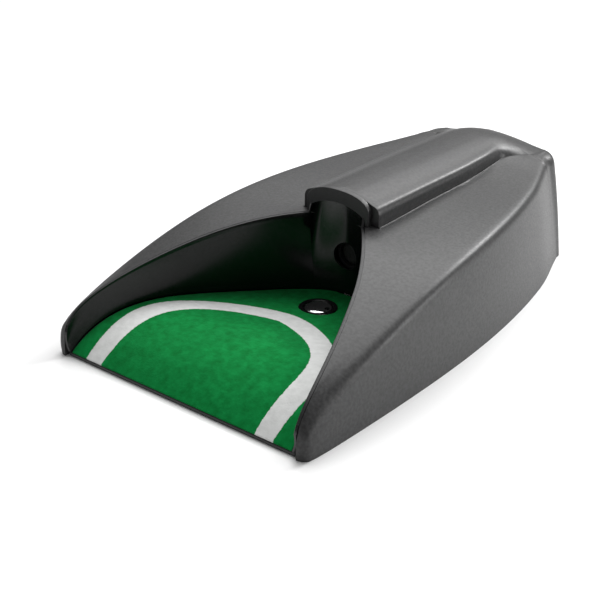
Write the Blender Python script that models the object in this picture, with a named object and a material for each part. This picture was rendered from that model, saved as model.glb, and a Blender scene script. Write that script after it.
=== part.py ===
"""Automatic putting cup: a wedge-shaped housing with an open bay in front. The ball rolls up a felt ramp
and rests on a chrome trigger button; the button's lever works a microswitch, a motor winds the
spring-loaded kicker through a gear train, and the kicker punches the ball back out of the bay.

Metres, +Z up. Inside the script Y runs from the ramp's front edge to the back, and X = 0 is the plane
of symmetry; the root empty moves the whole object so that the middle of its footprint is the origin.
"""

import math

import bmesh
import bpy
import numpy as np
from mathutils import Vector

# Overall size
REAR_Y = 0.2730  # middle of the rear wall, from the ramp's front edge
NOSE_Y = -0.0010  # foremost point of the two horns
NOSE_RADIUS = 0.0035
ROOT_Y = -(REAR_Y + NOSE_Y) / 2
WALL = 0.0020
HOOD_WALL = 0.0014
GAP = 0.0003  # between neighbouring pieces

# Outlines of one half, as control points of Bezier curves: (x, y) or (x, y, z)
CREASE = [(0.0780, -0.0010, 0.0080), (0.0750, -0.0006, 0.0277), (0.0840, 0.0548, 0.0300),
          (0.0686, 0.0991, 0.0629), (0.0879, 0.1452, 0.0493), (0.0418, 0.2613, 0.0573)]
BOTTOM_EDGE = [(0.0765, -0.0010), (0.0815, 0.0016), (0.0768, 0.0522),
               (0.0867, 0.1254), (0.0767, 0.1872), (0.0519, 0.2647)]
RIM = [(0.0705, -0.0010, 0.0060), (0.0731, -0.0014, 0.0309), (0.0688, 0.0241, 0.0283),
       (0.0515, 0.0769, 0.0543), (0.0180, 0.1181, 0.0531)]
BAY_FLOOR = [(0.0696, -0.0100), (0.0727, 0.0160), (0.0556, 0.0777), (0.0347, 0.1235), (0.0, 0.1267)]
RAMP_HEIGHT = [(0.0, 0.0025), (0.03125, 0.0281), (0.0625, 0.0148), (0.09375, 0.0073), (0.125, 0.0090)]

# Spine: a hood over the bay's back wall, which runs on to the rear as a wider ridge with a raised edge.
# Sections of one half as (x, z), from above the foot to the crown.
HOOD_FRONT_Y = 0.1185
RIDGE_FRONT_Y = 0.1216
HOOD_HALF_WIDTH = 0.0192
RIDGE_HALF_WIDTH = 0.0236
HOOD_SECTION = [(0.0192, 0.0570), (0.0192, 0.0605), (0.0188, 0.0623), (0.0182, 0.0632),
                (0.0175, 0.0640), (0.0165, 0.0649), (0.0152, 0.0657), (0.0137, 0.0665),
                (0.0096, 0.0678), (0.0048, 0.0685), (0.0, 0.0687)]
RIDGE_SECTION = [(0.0234, 0.0570), (0.0231, 0.0614), (0.0225, 0.0630), (0.0214, 0.0636),
                 (0.0202, 0.0632), (0.0190, 0.0627), (0.0178, 0.0634), (0.0162, 0.0650),
                 (0.0130, 0.0668), (0.0080, 0.0681), (0.0, 0.0687)]
RIDGE_END_SECTION = [(0.0230, 0.0554), (0.0218, 0.0579), (0.0206, 0.0597), (0.0193, 0.0611),
                     (0.0181, 0.0623), (0.0169, 0.0634), (0.0158, 0.0644), (0.0145, 0.0654),
                     (0.0116, 0.0670), (0.0070, 0.0682), (0.0, 0.0687)]
SECTION_FOOT = 0.0532
SECTION_CROWN = 0.0687
RIDGE_NARROWING = 0.06  # share of its width that the ridge loses on the way to the rear
SPINE_CROWN = [(0.118, 0.0687), (0.235, 0.0687), (0.2515, 0.0676), (0.262, 0.0650), (0.268, 0.0625),
               (0.273, 0.0602)]
SPINE_FOOT = [(0.118, 0.0532), (0.142, 0.0539), (0.164, 0.0548), (0.187, 0.0553), (0.211, 0.0560),
              (0.230, 0.0573), (0.252, 0.0590), (0.273, 0.0590)]
ROUNDING_Y = (0.222, 0.252)  # where the ridge's raised edge dies away
# Rear cap: the ridge spreads into one smooth surface, a small step above the side panels
CAP_BLEND_Y = (0.245, 0.2544)
CAP_Y = 0.2544
CAP_STEP = 0.0006
CAP_PLACES = [0.0330, 0.0290, 0.0258, 0.0232, 0.0211, 0.0193, 0.0176, 0.0161, 0.0145, 0.0116, 0.0070, 0.0]
RIM_SHARES = (0.0, 0.07, 0.11, 0.17, 0.24, 0.34, 0.45, 0.56, 0.67, 0.76, 0.84, 0.91, 0.96, 1.0)
RIM_DRAW_IN = 0.0020
LINER_WALL = 0.0012
NICHE_DEPTH = 0.0085
REAR_SAG = 0.0064  # how far the rear wall's ends lie ahead of its middle
SAG_START_Y = 0.215
PANEL_BOW = 0.0005
CORNER_RADIUS = 0.0072
TOP_EDGE_RADIUS = 0.0022
HOUSING_STATIONS = [-0.0006, 0.0002, 0.0015, 0.0032, 0.0055, 0.010, 0.017, 0.026, 0.036, 0.048,
                    0.061, 0.075, 0.090, 0.105, HOOD_FRONT_Y - 0.00002, HOOD_FRONT_Y,
                    RIDGE_FRONT_Y - 0.00002, RIDGE_FRONT_Y, 0.140, 0.160, 0.182, 0.205, 0.225, 0.236,
                    0.241, 0.246, 0.250, 0.2535, CAP_Y, CAP_Y + 0.0003, 0.2585, 0.263, 0.267, 0.270,
                    0.2718, REAR_Y]

# Ramp, felt and trigger hole
BASE_BOTTOM, BASE_TOP = 0.0006, 0.0026
BASE_FRONT_Y = 0.0120
FELT_THICKNESS = 0.0008
RAMP_THICKNESS = 0.0020
HOLE_Y = 0.1040
HOLE_TOP = 0.0099
BEZEL_RADIUS = 0.0100
BUTTON_RADIUS = 0.0072

# Trigger lever
LEVER_PIVOT = (0.1310, 0.0049)  # (y, z)
LEVER_REAR_Y = 0.1490

# Kicker: a square bar with a rack in its underside, in line with the ball's centre
KICK_Z = 0.0300
KICK_HOLE_RADIUS = 0.0073
BAR = 0.0070
HEAD_RADIUS = 0.0064
HEAD_FRONT_Y, HEAD_REAR_Y = 0.1345, 0.1375
BAR_REAR_Y = 0.1960
GUIDE_WALL_Y = 0.1570

# Gear train, all axles along X; a wheel's place is (y, z)
RACK_MODULE = 0.0008
TRAIN_MODULE = 0.0006
SECTOR_TEETH, SECTOR_CUT = 21, 9  # as if whole, and the teeth it really has
WHEEL_TEETH, BIG_TEETH, PINION_TEETH = 38, 40, 10
SECTOR_Y = 0.1720
AXLE_RADIUS = 0.0015
BORE_RADIUS = 0.00158
FRAME_Y = (0.1605, 0.1893)
FRAME_X = (-0.0090, 0.0143)
FRAME_TOP = 0.0360

# Batteries and rear sockets
CELL_RADIUS, CELL_LENGTH = 0.00715, 0.0490
CELL_SPACING = 0.0149
CELL_Z = 0.0116
TRAY_Y = (0.2125, 0.2645)
TRAY_HALF_WIDTH = 0.0306
TRAY_TOP = 0.0200
TRAY_WALL = 0.0015
DOOR_HALF_WIDTH = 0.0300

ROOT = None


# ---------- helpers ----------

def clear_scene():
    for obj in list(bpy.data.objects):
        bpy.data.objects.remove(obj, do_unlink=True)


def material(name, color, roughness, metallic=0.0):
    """A Principled material, made once and shared by name."""
    found = bpy.data.materials.get(name)
    if found:
        return found
    made = bpy.data.materials.new(name)
    made.use_nodes = True
    shader = made.node_tree.nodes["Principled BSDF"]
    shader.inputs["Base Color"].default_value = (*color, 1.0)
    shader.inputs["Roughness"].default_value = roughness
    shader.inputs["Metallic"].default_value = metallic
    return made


def shell_grey():
    return material("shell_grey", (0.085, 0.085, 0.087), 0.55)


def gloss_black():
    return material("gloss_black", (0.012, 0.012, 0.014), 0.22)


def black_plastic():
    return material("black_plastic", (0.020, 0.020, 0.022), 0.5)


def white_nylon():
    return material("white_nylon", (0.80, 0.79, 0.75), 0.45)


def steel():
    return material("steel", (0.62, 0.62, 0.64), 0.3, 1.0)


def bezier(controls, count=160):
    """Points along the Bezier curve with these control points, as an array."""
    controls = np.array(controls)
    order = len(controls) - 1
    t = np.linspace(0.0, 1.0, count)[:, None]
    weights = [math.comb(order, k) * t**k * (1 - t)**(order - k) for k in range(order + 1)]
    return sum(weight * control for weight, control in zip(weights, controls))


def at_y(curve, y):
    """The curve's other coordinates where it reaches y."""
    return [float(np.interp(y, curve[:, 1], curve[:, k])) for k in range(curve.shape[1]) if k != 1]


def level(table, y):
    """Value at y of a table of (y, value) pairs."""
    return float(np.interp(y, [row[0] for row in table], [row[1] for row in table]))


def ease(y, start, end):
    """0 before start, 1 after end, and a smooth step between."""
    t = min(max((y - start) / (end - start), 0.0), 1.0)
    return t * t * (3 - 2 * t)


CREASE_CURVE = bezier(CREASE)
BOTTOM_CURVE = bezier(BOTTOM_EDGE)
RIM_CURVE = bezier(RIM)
FLOOR_CURVE = bezier(BAY_FLOOR)
RAMP_CURVE = bezier(RAMP_HEIGHT)


def ramp_top(y):
    """Height of the felt's upper face."""
    return float(np.interp(y, RAMP_CURVE[:, 0], RAMP_CURVE[:, 1]))


def add_object(name, mesh, skin, smooth_angle=None):
    obj = bpy.data.objects.new(name, mesh)
    bpy.context.scene.collection.objects.link(obj)
    obj.parent = ROOT
    obj.data.materials.append(skin)
    if smooth_angle:
        mesh.shade_smooth()
        mesh.set_sharp_from_angle(angle=math.radians(smooth_angle))
    return obj


def from_faces(name, points, faces, skin, smooth_angle=None, origin=(0.0, 0.0, 0.0)):
    """An object from points and faces; its origin is put at the given point."""
    mesh = bpy.data.meshes.new(name)
    mesh.from_pydata([Vector(p) - Vector(origin) for p in points], [], faces)
    shape = bmesh.new()
    shape.from_mesh(mesh)
    bmesh.ops.remove_doubles(shape, verts=shape.verts, dist=1e-7)
    bmesh.ops.recalc_face_normals(shape, faces=shape.faces)
    shape.to_mesh(mesh)
    shape.free()
    obj = add_object(name, mesh, skin, smooth_angle)
    obj.location = origin
    return obj


def as_cutter(obj):
    obj.hide_render = True
    obj.display_type = "WIRE"
    return obj


def boolean(obj, other, operation):
    step = obj.modifiers.new(operation.lower() + "_" + other.name, "BOOLEAN")
    step.operation = operation
    step.object = as_cutter(other)


def cut(obj, *cutters):
    for cutter in cutters:
        boolean(obj, cutter, "DIFFERENCE")
    return obj


def join(obj, *others):
    for other in others:
        boolean(obj, other, "UNION")
    return obj


def box(name, low, high, skin, bevel=0.0, origin=(0.0, 0.0, 0.0)):
    corners = [(x, y, z) for x in (low[0], high[0]) for y in (low[1], high[1]) for z in (low[2], high[2])]
    faces = [(0, 1, 3, 2), (4, 6, 7, 5), (0, 4, 5, 1), (2, 3, 7, 6), (0, 2, 6, 4), (1, 5, 7, 3)]
    obj = from_faces(name, corners, faces, skin, origin=origin)
    if bevel:
        step = obj.modifiers.new("rounded_edges", "BEVEL")
        step.width = bevel
        step.segments = 2
    return obj


def turned(axis, radius, angle, along, centre):
    """A point at this radius and angle round the axis X, Y or Z, at this place along it."""
    c, s = radius * math.cos(angle), radius * math.sin(angle)
    place = {"X": (along, c, s), "Y": (s, along, c), "Z": (c, s, along)}[axis]
    return tuple(a + b for a, b in zip(place, centre))


def lathe(name, profile, axis, centre, skin, steps=24, origin=(0.0, 0.0, 0.0), smooth_angle=35):
    """A closed profile of (radius, place along the axis) turned round the axis through centre."""
    points, rows = [], []
    for radius, along in profile:
        count = 1 if radius == 0 else steps
        rows.append([len(points) + k % count for k in range(steps)])
        points += [turned(axis, radius, math.tau * k / steps, along, centre) for k in range(count)]
    faces = []
    closed = profile[0][0] > 0
    for a, b in zip(rows, rows[1:] + rows[:1] if closed else rows[1:]):
        for k in range(steps):
            loop = [a[k], a[(k + 1) % steps], b[(k + 1) % steps], b[k]]
            loop = [v for i, v in enumerate(loop) if v not in loop[:i]]
            if len(loop) > 2:
                faces.append(loop)
    return from_faces(name, points, faces, skin, smooth_angle, origin)


def rod(name, radius, start, end, axis, centre, skin, steps=16, origin=(0.0, 0.0, 0.0)):
    profile = [(0, start), (radius, start), (radius, end), (0, end)]
    return lathe(name, profile, axis, centre, skin, steps, origin)


def pipe(name, outer, inner, start, end, axis, centre, skin, steps=24):
    profile = [(inner, start), (outer, start), (outer, end), (inner, end)]
    return lathe(name, profile, axis, centre, skin, steps)


def slab(name, stations, skin, smooth_angle=None):
    """A solid from stations of (upper points, lower points), both running from left to right."""
    points, faces = [], []
    count = len(stations[0][0])
    for upper, lower in stations:
        points += list(upper) + list(lower)
    stride = 2 * count
    for row in range(len(stations) - 1):
        here, there = row * stride, (row + 1) * stride
        for k in range(count - 1):
            faces.append((here + k, there + k, there + k + 1, here + k + 1))
            faces.append((here + count + k, here + count + k + 1, there + count + k + 1, there + count + k))
        for k in (0, count - 1):
            faces.append((here + k, here + count + k, there + count + k, there + k))
    for start in (0, (len(stations) - 1) * stride):
        for k in range(count - 1):
            faces.append((start + k, start + k + 1, start + count + k + 1, start + count + k))
    tidy = [tuple(dict.fromkeys(face)) for face in faces]
    return from_faces(name, points, tidy, skin, smooth_angle)


def prism(name, outline, hole, start, end, axis, centre, skin, origin=(0.0, 0.0, 0.0)):
    """A plate from an outline and an optional hole, both as (radius, angle) pairs round the axis."""
    shape = bmesh.new()
    for loop in [outline, hole] if hole else [outline]:
        ring = [shape.verts.new(turned(axis, r, a, start, centre)) for r, a in loop]
        for one, two in zip(ring, ring[1:] + ring[:1]):
            shape.edges.new((one, two))
    bmesh.ops.triangle_fill(shape, use_beauty=True, use_dissolve=False, edges=shape.edges[:])
    made = bmesh.ops.extrude_face_region(shape, geom=shape.faces[:])
    moved = [v for v in made["geom"] if isinstance(v, bmesh.types.BMVert)]
    direction = Vector(turned(axis, 0.0, 0.0, end - start, (0.0, 0.0, 0.0)))
    bmesh.ops.translate(shape, verts=moved, vec=direction)
    bmesh.ops.recalc_face_normals(shape, faces=shape.faces)
    bmesh.ops.translate(shape, verts=shape.verts, vec=-Vector(origin))
    mesh = bpy.data.meshes.new(name)
    shape.to_mesh(mesh)
    shape.free()
    obj = add_object(name, mesh, skin)
    obj.location = origin
    return obj


def circle(radius, count=16):
    return [(radius, math.tau * k / count) for k in range(count)]


def gear_outline(teeth, module, phase, cut_teeth=None):
    """Trapezoid teeth as (radius, angle) pairs; tooth 0 points at the phase angle."""
    pitch_radius = teeth * module / 2
    outer, root = pitch_radius + 0.8 * module, pitch_radius - 1.0 * module
    half_tooth = 0.21 * math.pi * module
    tip, foot = (half_tooth - 0.3 * module) / outer, (half_tooth + 0.36 * module) / root
    outline = []
    for k in range(teeth):
        middle = phase - math.tau * k / teeth
        if k < (cut_teeth or teeth):
            outline += [(root, middle + foot), (outer, middle + tip), (outer, middle - tip),
                        (root, middle - foot)]
        else:
            outline.append((root, middle))
    return outline


def meshing_phase(direction, phase, teeth, other_teeth):
    """Phase of the gear that lies in this direction from one with the given phase, in mesh with it."""
    pitch, other_pitch = math.tau / teeth, math.tau / other_teeth
    behind = ((direction - phase) % pitch) / pitch
    return direction + math.pi + behind * other_pitch + other_pitch / 2


def coil(name, radius, wire, turns, start, end, axis, centre, skin, sides=6, per_turn=14):
    """A compression spring as one closed tube."""
    count = int(turns * per_turn)
    points, faces = [], []
    lead = (end - start - 2 * wire) / count
    for k in range(count + 1):
        angle = math.tau * k / per_turn
        middle = start + wire + lead * k
        for s in range(sides):
            around = math.tau * s / sides
            reach = radius + wire * math.cos(around)
            points.append(turned(axis, reach, angle, middle + wire * math.sin(around), centre))
    for k in range(count):
        for s in range(sides):
            a, b = k * sides + s, k * sides + (s + 1) % sides
            faces.append((a, b, b + sides, a + sides))
    faces += [tuple(range(sides)), tuple(range(count * sides, (count + 1) * sides))]
    return from_faces(name, points, faces, skin, 60)


def wire(name, points, skin, radius=0.0007):
    """An insulated lead through these points, as a curve with a round bevel."""
    curve = bpy.data.curves.new(name, "CURVE")
    curve.dimensions = "3D"
    curve.bevel_depth = radius
    curve.bevel_resolution = 1
    curve.resolution_u = 4
    curve.use_fill_caps = True
    spline = curve.splines.new("NURBS")
    spline.points.add(len(points) - 1)
    for spot, place in zip(spline.points, points):
        spot.co = (*place, 1.0)
    spline.use_endpoint_u = True
    spline.order_u = 3
    return add_object(name, curve, skin)


# ---------- housing ----------

def rear_bend(x, y):
    """Y of a point of the station at y, moved forward where the rear wall curves round."""
    return y - REAR_SAG * ease(y, SAG_START_Y, REAR_Y) * (x / 0.050) ** 2


def round_in(y, limit, radius):
    """How far a corner of this radius draws in near its limit."""
    run = min(max(y - (limit - radius), 0.0), radius)
    return radius - math.sqrt(radius * radius - run * run)


def panel_points(crease, inner, base_x, fillet):
    """Crease fillet and side panel of one half, from the crease (x, z) to the panel's inner edge.

    The points between lie at shares of the way to base_x, which keeps them in line from station to station.
    """
    slope = (inner[1] - crease[1]) / (inner[0] - crease[0])
    start = (crease[0] - fillet, crease[1] - fillet * slope)
    points = [(crease[0] - 0.0007, crease[1] - 0.0007 * (1 + slope)), start]
    for share in (0.36, 0.70):
        x = start[0] + (base_x - start[0]) * share
        along = (x - start[0]) / (inner[0] - start[0])
        points.append((x, start[1] + (inner[1] - start[1]) * along + PANEL_BOW * (1 - along)))
    return points + [inner]


def cap_height(x, crease, crown):
    """Height of the rear cap's smooth surface at x."""
    return crease[1] + (crown - crease[1]) * math.cos(math.pi / 2 * min(x / crease[0], 1.0)) ** 1.8


def spine_points(shape_y, crease, drop, wall):
    """Foot of the spine and its section at a station, from the foot to the crown."""
    shell = min(wall, HOOD_WALL)
    hood = shape_y < RIDGE_FRONT_Y
    foot_x = HOOD_HALF_WIDTH if hood else RIDGE_HALF_WIDTH
    rounding = ease(shape_y, *ROUNDING_Y)
    section = [((1 - rounding) * np.array(start) + rounding * np.array(end))
               for start, end in zip(HOOD_SECTION if hood else RIDGE_SECTION, RIDGE_END_SECTION)]
    narrow = 1 - RIDGE_NARROWING * ease(shape_y, 0.190, 0.245)
    foot_z = level(SPINE_FOOT, shape_y) - drop
    crown = level(SPINE_CROWN, shape_y) - drop + wall - shell
    rise = (crown - foot_z) / (SECTION_CROWN - SECTION_FOOT)
    spread = ease(shape_y, *CAP_BLEND_Y)
    made = []
    for (x, z), place in zip([(foot_x, SECTION_FOOT)] + section, CAP_PLACES):
        x, z = max(x * narrow - shell, 0.0), foot_z + (z - SECTION_FOOT) * rise
        wide = min(place, crease[0] - 0.0040)
        made.append((x + (wide - x) * spread, z + (cap_height(wide, crease, crown) - z) * spread))
    return made


def housing_half(y, shape_y, wall):
    """Outer edge of one half at a station, from the bottom edge over the crease to the middle, as (x, z).

    wall moves the outline inwards; shape_y is where the features are looked up.
    """
    rear = REAR_Y - wall
    corner = round_in(y, rear, CORNER_RADIUS) + wall
    drop = round_in(y, rear, TOP_EDGE_RADIUS) + wall
    bottom_x = at_y(BOTTOM_CURVE, shape_y)[0] - corner
    crease_x, crease_z = at_y(CREASE_CURVE, shape_y)
    nose = round_in(-y, -NOSE_Y, NOSE_RADIUS)
    bottom_x, crease_x = bottom_x - nose, crease_x - corner - nose
    crease_z -= drop + 1.2 * nose - (CAP_STEP if shape_y > CAP_Y else 0.0)
    if shape_y >= HOOD_FRONT_Y:
        spine = spine_points(shape_y, (crease_x, crease_z), drop, wall)
        base_x = HOOD_HALF_WIDTH + (spine[0][0] - HOOD_HALF_WIDTH) * ease(shape_y, 0.135, 0.200)
    else:
        inner_x, inner_z = at_y(RIM_CURVE, shape_y)
        inner_x, inner_z = inner_x + 0.3 * nose, inner_z - wall - 1.2 * nose
        shares = [1.0] + [x / HOOD_HALF_WIDTH * 0.95 for x, z in HOOD_SECTION]
        spine = [(inner_x * share, inner_z) for share in shares]
        base_x = inner_x
    fillet = min(0.0026, 0.25 * crease_z)
    side_x = crease_x + (bottom_x - crease_x) * fillet / crease_z
    side = [(bottom_x, 0.0), ((bottom_x + side_x) / 2 + 0.0005, crease_z / 2), (side_x, crease_z - fillet)]
    return side + panel_points((crease_x, crease_z), spine[0], base_x, fillet) + spine[1:]


def housing_stations(stations, wall, floor_z):
    made = []
    for y, shape_y in stations:
        half = housing_half(y, shape_y, wall)
        half[0] = (half[0][0], floor_z)
        left = [(-x, z) for x, z in half]
        whole = left + [(x, z) for x, z in half[::-1]][1:]
        edge = half[0][0]
        widest = max(x for x, z in half)
        upper = [(x, rear_bend(x, y), z) for x, z in whole]
        lower = [(x * edge / widest, rear_bend(x * edge / widest, y), floor_z) for x, z in whole]
        lower[0], lower[-1] = upper[0], upper[-1]
        made.append((upper, lower))
    return made


def rim_place(share, outward=0.0):
    """Point of the bay wall's upper edge; near the hood the wall draws in, to pass inside the hood."""
    k = int(share * 159)
    here = Vector(RIM_CURVE[k])
    run = Vector(RIM_CURVE[min(k + 1, 159)]) - Vector(RIM_CURVE[max(k - 1, 0)])
    normal = Vector((run.y, -run.x, 0.0)).normalized()
    return here + normal * (outward - RIM_DRAW_IN * ease(share, 0.72, 1.0))


def rim_prism(name):
    """Upright cutter over the bay's plan, just outside the bay wall."""
    edge = [rim_place(share, LINER_WALL + 2 * GAP) for share in RIM_SHARES]
    half = [(edge[0].x, -0.01)] + [(p.x, p.y) for p in edge]
    stations = [([(-x, y, 0.09), (x, y, 0.09)], [(-x, y, -0.01), (x, y, -0.01)]) for x, y in half]
    return slab(name, stations, black_plastic())


def upper_housing():
    stations = [(NOSE_Y, NOSE_Y)] + [(y, y) for y in HOUSING_STATIONS]
    outer = slab("upper_housing", housing_stations(stations, 0.0, 0.0), shell_grey(), 32)
    inner = [(0.0060, 0.0060)]
    for y in HOUSING_STATIONS:
        if y > 0.007 and y < REAR_Y - 0.0025:
            shift = -0.0008 if abs(y - HOOD_FRONT_Y) < 0.0001 else 0.0
            shift = WALL if RIDGE_FRONT_Y - 0.0001 < y < 0.13 else shift
            inner.append((y + shift, y))
    inner.append((REAR_Y - WALL, REAR_Y - WALL))
    hollow = slab("housing_hollow", housing_stations(inner, WALL, -0.001), black_plastic())
    bosses = [rod(f"screw_boss_{i}", 0.0032, 0.0042, z, "Z", (x, y, 0), shell_grey(), 12)
              for i, (x, y, z) in enumerate(screw_places())]
    cut(outer, hollow)
    join(outer, *bosses)
    cut(outer, rim_prism("rim_cutter"))
    holes = [rod(f"boss_hole_{i}", 0.0012, 0.0, 0.0125, "Z", (x, y, 0), shell_grey(), 8)
             for i, (x, y, z) in enumerate(screw_places())]
    cut(outer, *holes)
    jack_x, knob_x = socket_places()
    cut(outer, rod("jack_hole", 0.0034, 0.255, 0.285, "Y", (jack_x, 0, 0.0135), shell_grey(), 16))
    cut(outer,
        box("knob_slot", (knob_x - 0.0045, 0.258, 0.0110), (knob_x + 0.0045, 0.285, 0.0160), shell_grey()))
    slot = (DOOR_HALF_WIDTH + GAP, 0.285, BASE_TOP + 0.0004)
    cut(outer, box("door_slot", (-slot[0], 0.260, -0.001), slot, shell_grey()))
    return outer


def screw_places():
    """(x, y, top of the boss in the housing) of the screws that hold the base plate."""
    return [(side * x, y, z) for side in (-1, 1)
            for x, y, z in ((0.0690, 0.0700, 0.040), (0.0640, 0.1350, 0.0508), (0.0480, 0.2200, 0.0535))]


def socket_places():
    """X of the power jack and of the switch knob on the rear wall."""
    return 0.0385, -0.0383


# ---------- bay ----------

def hood_height(x):
    """Height of the hood's outer face at x."""
    section = HOOD_SECTION[::-1]
    return float(np.interp(x, [place[0] for place in section], [place[1] for place in section]))


def liner_path():
    """Pairs of (bottom point, top point) of the bay wall's inner face, right horn to middle."""
    pairs = []
    for share in RIM_SHARES[1:]:
        top = rim_place(share)
        floor_y = top.y + 0.0045 * share
        pairs.append(((at_y(FLOOR_CURVE, floor_y)[0], floor_y), (top.x, top.y, top.z - 0.0005)))
    niche_x = HOOD_HALF_WIDTH - HOOD_WALL - 3 * GAP - LINER_WALL
    for k in range(7):
        angle = math.radians(90 * k / 6)
        top_x, top_y = niche_x * math.cos(angle), HOOD_FRONT_Y + 0.0007 + NICHE_DEPTH * math.sin(angle)
        top_z = hood_height(top_x + LINER_WALL + HOOD_WALL) - HOOD_WALL - 2 * GAP
        floor_x = 0.0196 * math.cos(angle)
        floor_y = float(np.interp(floor_x, FLOOR_CURVE[::-1, 0], FLOOR_CURVE[::-1, 1]))
        pairs.append(((floor_x, floor_y), (top_x, top_y, top_z)))
    return pairs


def liner_column(pair, ahead, behind):
    """Inner and outer points of the wall at one place; ahead and behind are its neighbours."""
    (low_x, low_y), (top_x, top_y, top_z) = pair
    low_z = ramp_top(max(low_y, 0.0)) + GAP
    inner = []
    for share in (0.0, 0.3, 0.65, 1.0):
        bow = 0.0008 * math.sin(math.pi * share) * max(-1.0, min(1.0, low_x / 0.05))
        inner.append(Vector((low_x + (top_x - low_x) * share + bow,
                             low_y + (top_y - low_y) * share, low_z + (top_z - low_z) * share)))
    run = Vector((ahead[1][0] - behind[1][0], ahead[1][1] - behind[1][1], 0.0)).normalized()
    outward = Vector((run.y, -run.x, 0.0))
    return inner, [p + outward * LINER_WALL for p in inner]


def bay_liner():
    pairs = liner_path()
    middle = pairs[-1]
    mirrored = [((-p[0], p[1]), (-q[0], q[1], q[2])) for p, q in pairs[-2::-1]]
    whole = pairs[:-1] + [middle] + mirrored
    columns = []
    for k, pair in enumerate(whole):
        ahead, behind = whole[min(k + 1, len(whole) - 1)], whole[max(k - 1, 0)]
        columns.append(liner_column(pair, ahead, behind))
    wall = slab("bay_liner", columns, gloss_black(), 40)
    return cut(wall,
               rod("kick_hole", KICK_HOLE_RADIUS, 0.115, 0.140, "Y", (0, 0, KICK_Z), gloss_black(), 24))


def ramp_sheet(name, top_offset, thickness, margin, front_y, rear_y, skin, count, lip=None):
    """A plate that follows the ramp's hump; margin widens it past the bay's floor outline."""
    stations = []
    for k in range(count):
        y = front_y + (rear_y - front_y) * (1 - (1 - k / (count - 1)) ** 1.25)
        half = max(at_y(FLOOR_CURVE, y)[0] + margin, 0.004)
        top = ramp_top(y) + top_offset
        bottom = lip if lip is not None and k == 0 else top - thickness
        across = [half * share for share in (-1.0, -0.5, 0.0, 0.5, 1.0)]
        stations.append(([(x, y, top) for x in across], [(x, y, bottom) for x in across]))
    return slab(name, stations, skin, 30)


def putting_deck():
    deck = ramp_sheet("putting_deck", -FELT_THICKNESS - GAP, RAMP_THICKNESS, 0.0012, 0.0004, 0.1262,
                      black_plastic(), 18, lip=0.0004)
    return cut(deck, rod("deck_hole", 0.0090, 0.0, 0.02, "Z", (0, HOLE_Y, 0), black_plastic(), 24),
               rod("bezel_seat", BEZEL_RADIUS + GAP, HOLE_TOP - 0.0015, 0.02, "Z", (0, HOLE_Y, 0),
                   black_plastic()))


def green_felt():
    felt = ramp_sheet("green_felt", 0.0, FELT_THICKNESS, -0.0008, 0.0006, 0.1254,
                      material("green_felt", (0.0, 0.16, 0.03), 0.95), 22)
    return cut(felt,
               rod("felt_hole", BEZEL_RADIUS + GAP, 0.0, 0.02, "Z", (0, HOLE_Y, 0), black_plastic(), 32))


def hole_bezel():
    inner = BUTTON_RADIUS + GAP
    flange_z = HOLE_TOP - 0.0012
    profile = [(inner, 0.0065), (0.0086, 0.0065), (0.0086, flange_z), (BEZEL_RADIUS, flange_z),
               (BEZEL_RADIUS, HOLE_TOP - 0.0005), (BEZEL_RADIUS - 0.0006, HOLE_TOP),
               (inner + 0.0006, HOLE_TOP), (inner, HOLE_TOP - 0.0006)]
    return lathe("hole_bezel", profile, "Z", (0, HOLE_Y, 0), gloss_black(), 32)


def trigger_button():
    dome = [(BUTTON_RADIUS * math.sin(a), 0.0093 + 0.0015 * math.cos(a))
            for a in (math.radians(15 * k) for k in range(1, 7))]
    profile = [(0, 0.0108)] + dome + [(BUTTON_RADIUS, 0.0078), (0.0022, 0.0078), (0.0022, 0.0058),
                                      (0, 0.0058)]
    return lathe("trigger_button", profile, "Z", (0, HOLE_Y, 0),
                 material("chrome", (0.78, 0.78, 0.80), 0.08, 1.0),
                 28, origin=(0, HOLE_Y, 0.0093))


# ---------- base ----------

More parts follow.
